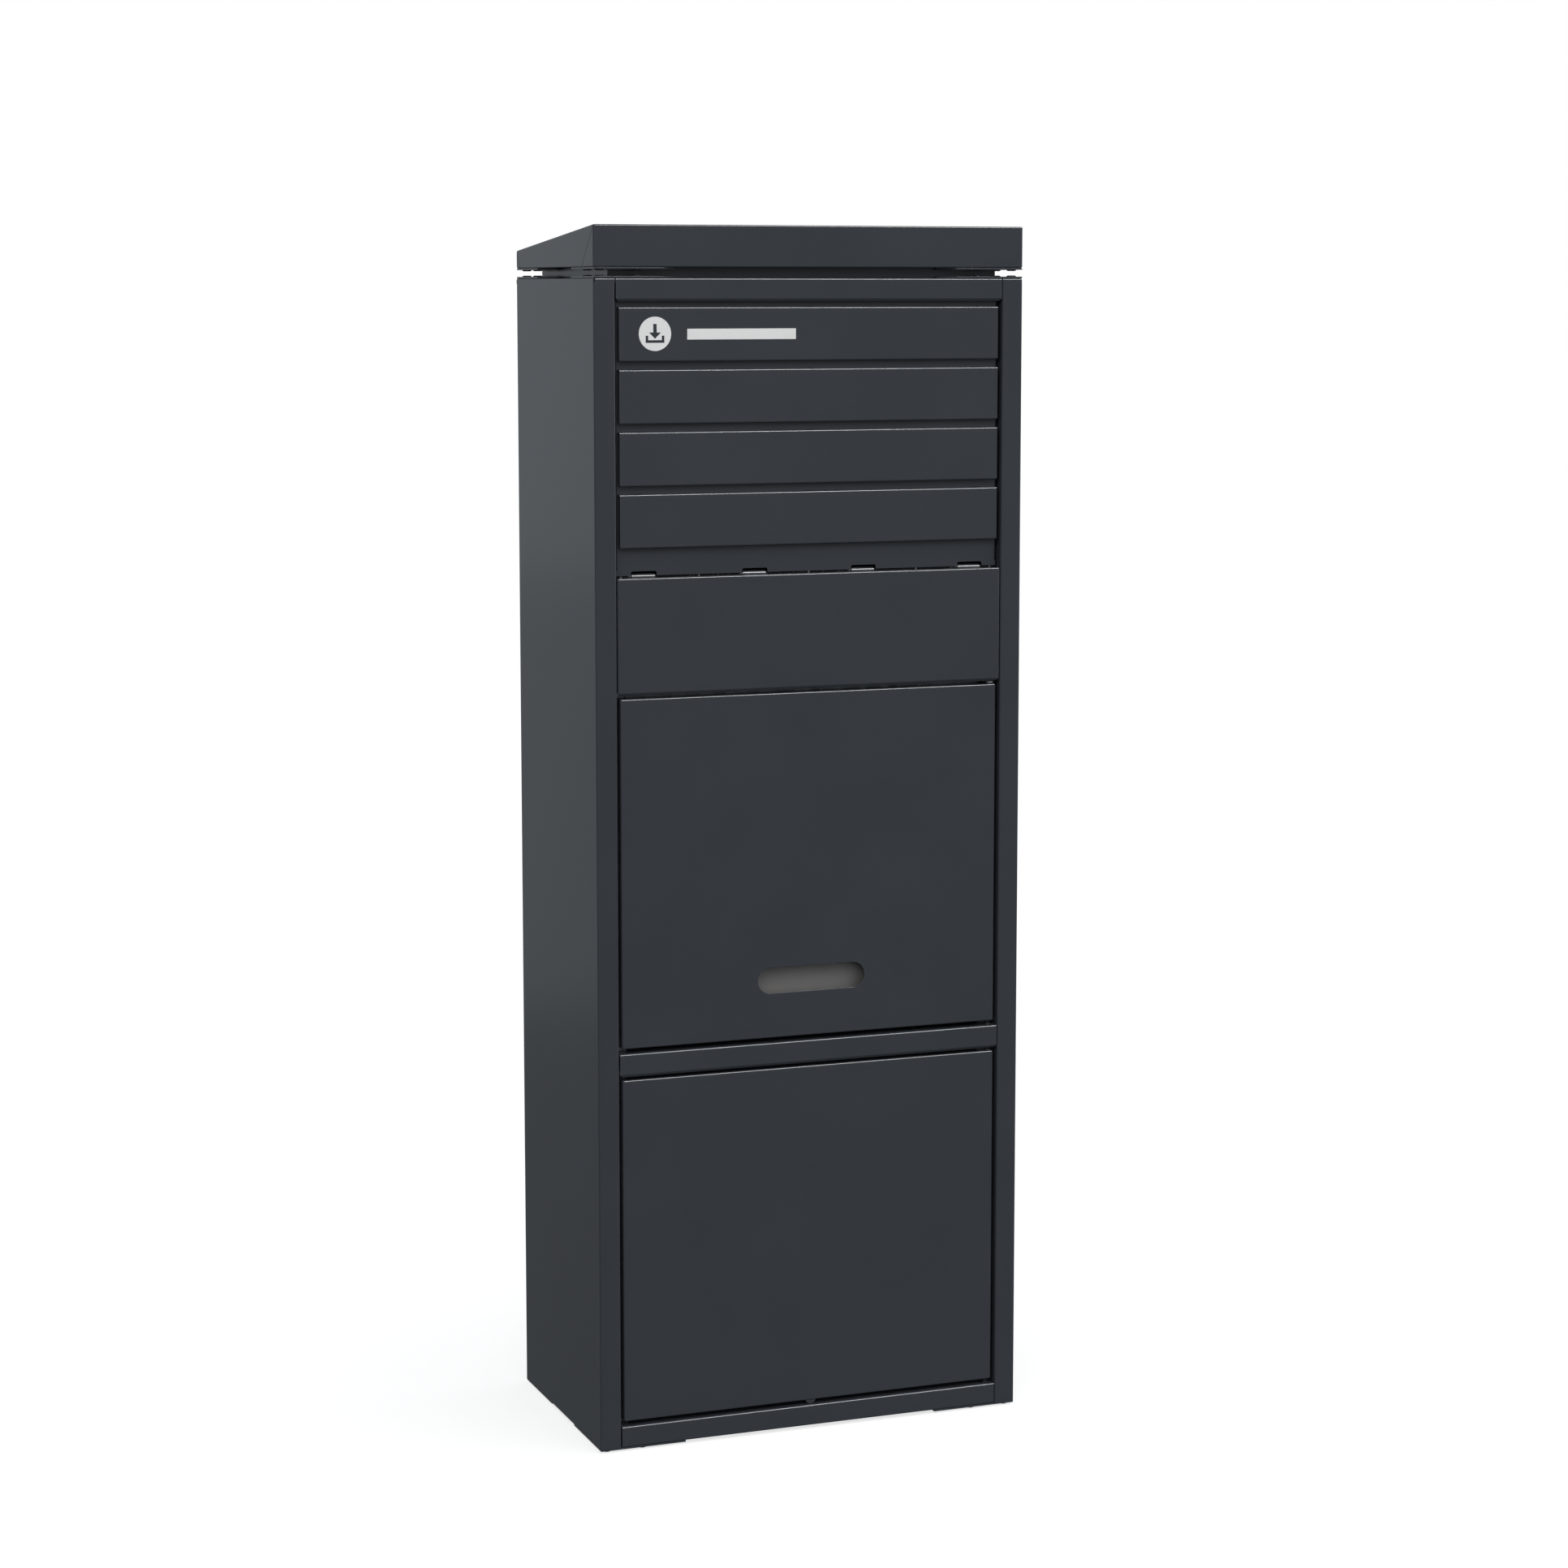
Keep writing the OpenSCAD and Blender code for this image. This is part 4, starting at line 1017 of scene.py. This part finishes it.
# %% [markdown]
# ## Floor and light
#
# A dark satin box in a white room would turn grey, because every wall would shine in it. A studio keeps
# the room dim and puts light only where it draws the shape: a lamp high over the front rules a thin bright
# line along every fold, and a soft box behind the left side gives that side its long gradient from pale
# to dark. The lamp over the front is two suns, because a sun lights the pale floor evenly to the horizon:
# a narrow one that only makes glints, and a very wide one that only lights the colour, so that gaps and
# the pull slot stay softly lit. The floor is hidden from reflections and bounce, as if the locker stood on
# a lit sheet that its panels can't see. The view transform is Standard, so a hex colour under full light
# comes out as it is written.

# %% Floor and light
COOL = (0.88, 0.95, 1.0)
FLOOR_HALF, FLOOR_GLOW = 60.0, 0.72


def soft_box(name, place, target, width, height, power, tint=(1.0, 1.0, 1.0)):
    """A rectangular studio lamp that faces a point."""
    lamp = bpy.data.lights.new(name, "AREA")
    lamp.shape = "RECTANGLE"
    lamp.size = width
    lamp.size_y = height
    lamp.energy = power
    lamp.color = tint
    holder = bpy.data.objects.new(name, lamp)
    scene.collection.objects.link(holder)
    holder.location = place
    holder.visible_camera = False
    holder.rotation_euler = (Vector(target) - Vector(place)).to_track_quat("-Z", "Y").to_euler()


def studio_sun(name, direction, strength, disc):
    """A sun that shines along a direction, its disc so many degrees wide."""
    lamp = bpy.data.lights.new(name, "SUN")
    lamp.energy = strength
    lamp.angle = math.radians(disc)
    holder = bpy.data.objects.new(name, lamp)
    scene.collection.objects.link(holder)
    holder.rotation_euler = Vector(direction).to_track_quat("-Z", "Y").to_euler()
    return holder


def pale_floor():
    builder = bmesh.new()
    bmesh.ops.create_grid(builder, x_segments=1, y_segments=1, size=FLOOR_HALF)
    floor = new_piece("studio_floor", builder)
    material, tree, place = new_finish("matt_white_floor")
    show(tree, {"Base Color": paint("#9a9a9a"), "Roughness": 0.9, "Specular IOR Level": 0.0,
                "Emission Color": paint("#ffffff"), "Emission Strength": FLOOR_GLOW})
    floor.data.materials.append(material)
    floor.visible_glossy = False
    floor.visible_diffuse = False


def studio_room():
    """White behind the object. For reflections and ambient light, dim above and dimmer below."""
    world = bpy.data.worlds.new("studio_room")
    world.use_nodes = True
    scene.world = world
    tree = world.node_tree
    tree.nodes.clear()
    way = add(tree, "ShaderNodeTexCoord").outputs["Generated"]
    parts = add(tree, "ShaderNodeSeparateXYZ", {"Vector": way})
    room = add(tree, "ShaderNodeMapRange", {"Value": parts.outputs["Z"], "From Min": -0.45, "From Max": 0.35,
                                            "To Min": 0.14, "To Max": 0.40})
    ray = add(tree, "ShaderNodeLightPath")
    seen = add(tree, "ShaderNodeBackground", {"Color": paint("#ffffff"), "Strength": 1.0})
    felt = add(tree, "ShaderNodeBackground", {"Color": paint("#e6edf4"),
                                              "Strength": room.outputs["Result"]})
    both = add(tree, "ShaderNodeMixShader", {0: ray.outputs["Is Camera Ray"], 1: felt.outputs[0],
                                             2: seen.outputs[0]})
    add(tree, "ShaderNodeOutputWorld", {"Surface": both.outputs[0]})


scene.view_settings.view_transform = "Standard"
middle = (cad_box[0] + cad_box[1]) / 2
pale_floor()
studio_room()
studio_sun("fold_light", (-0.36, 0.62, -0.70), 3.0, 20).visible_diffuse = False
studio_sun("soft_ceiling", (-0.20, 0.66, -0.72), 2.7, 110).visible_glossy = False
soft_box("left_back_high", (-1.0, 1.7, 1.30), middle + Vector((-0.2, 0, 0.45)), 1.3, 0.9, 0.86, COOL)
soft_box("left_back_low", (-1.0, 1.7, 0.48), middle + Vector((-0.2, 0, -0.2)), 1.3, 0.74, 0.34, COOL)
soft_box("front_left", (-2.4, -2.8, 3.0), middle + Vector((0, 0, 0.6)), 1.8, 1.8, 40)
soft_box("right_fill", (3.0, -0.6, 1.6), middle, 1.8, 1.8, 20)

# %% [markdown]
# ## Camera
#
# The locker is seen from its left front, at about the height of its roof, through a long lens that keeps
# its tall sides nearly parallel. A level camera with a large lens shift would make them quite parallel,
# but would lose the locker when moved round it. This one looks down by seven degrees with a small shift.

# %% Camera
camera = bpy.data.objects.new("camera", bpy.data.cameras.new("camera"))
scene.collection.objects.link(camera)
scene.camera = camera
camera.data.lens = 81.5
camera.data.shift_y = -0.035
camera.data.clip_end = 100.0
camera.location = (-1.4724, -3.9069, 1.3284)
turn, dip = 0.3652, 0.1233  # radians
camera.rotation_euler = (math.pi / 2 - dip, 0, -turn)

# %% [markdown]
# ## The frame's box
#
# The box of the mechanical model, as it was loaded, is printed in metres. The visual
# model has to stay inside the box of the mechanical one.

# %% The frame's box
print("CAD box:", [round(x, 4) for corner in cad_box for x in corner])
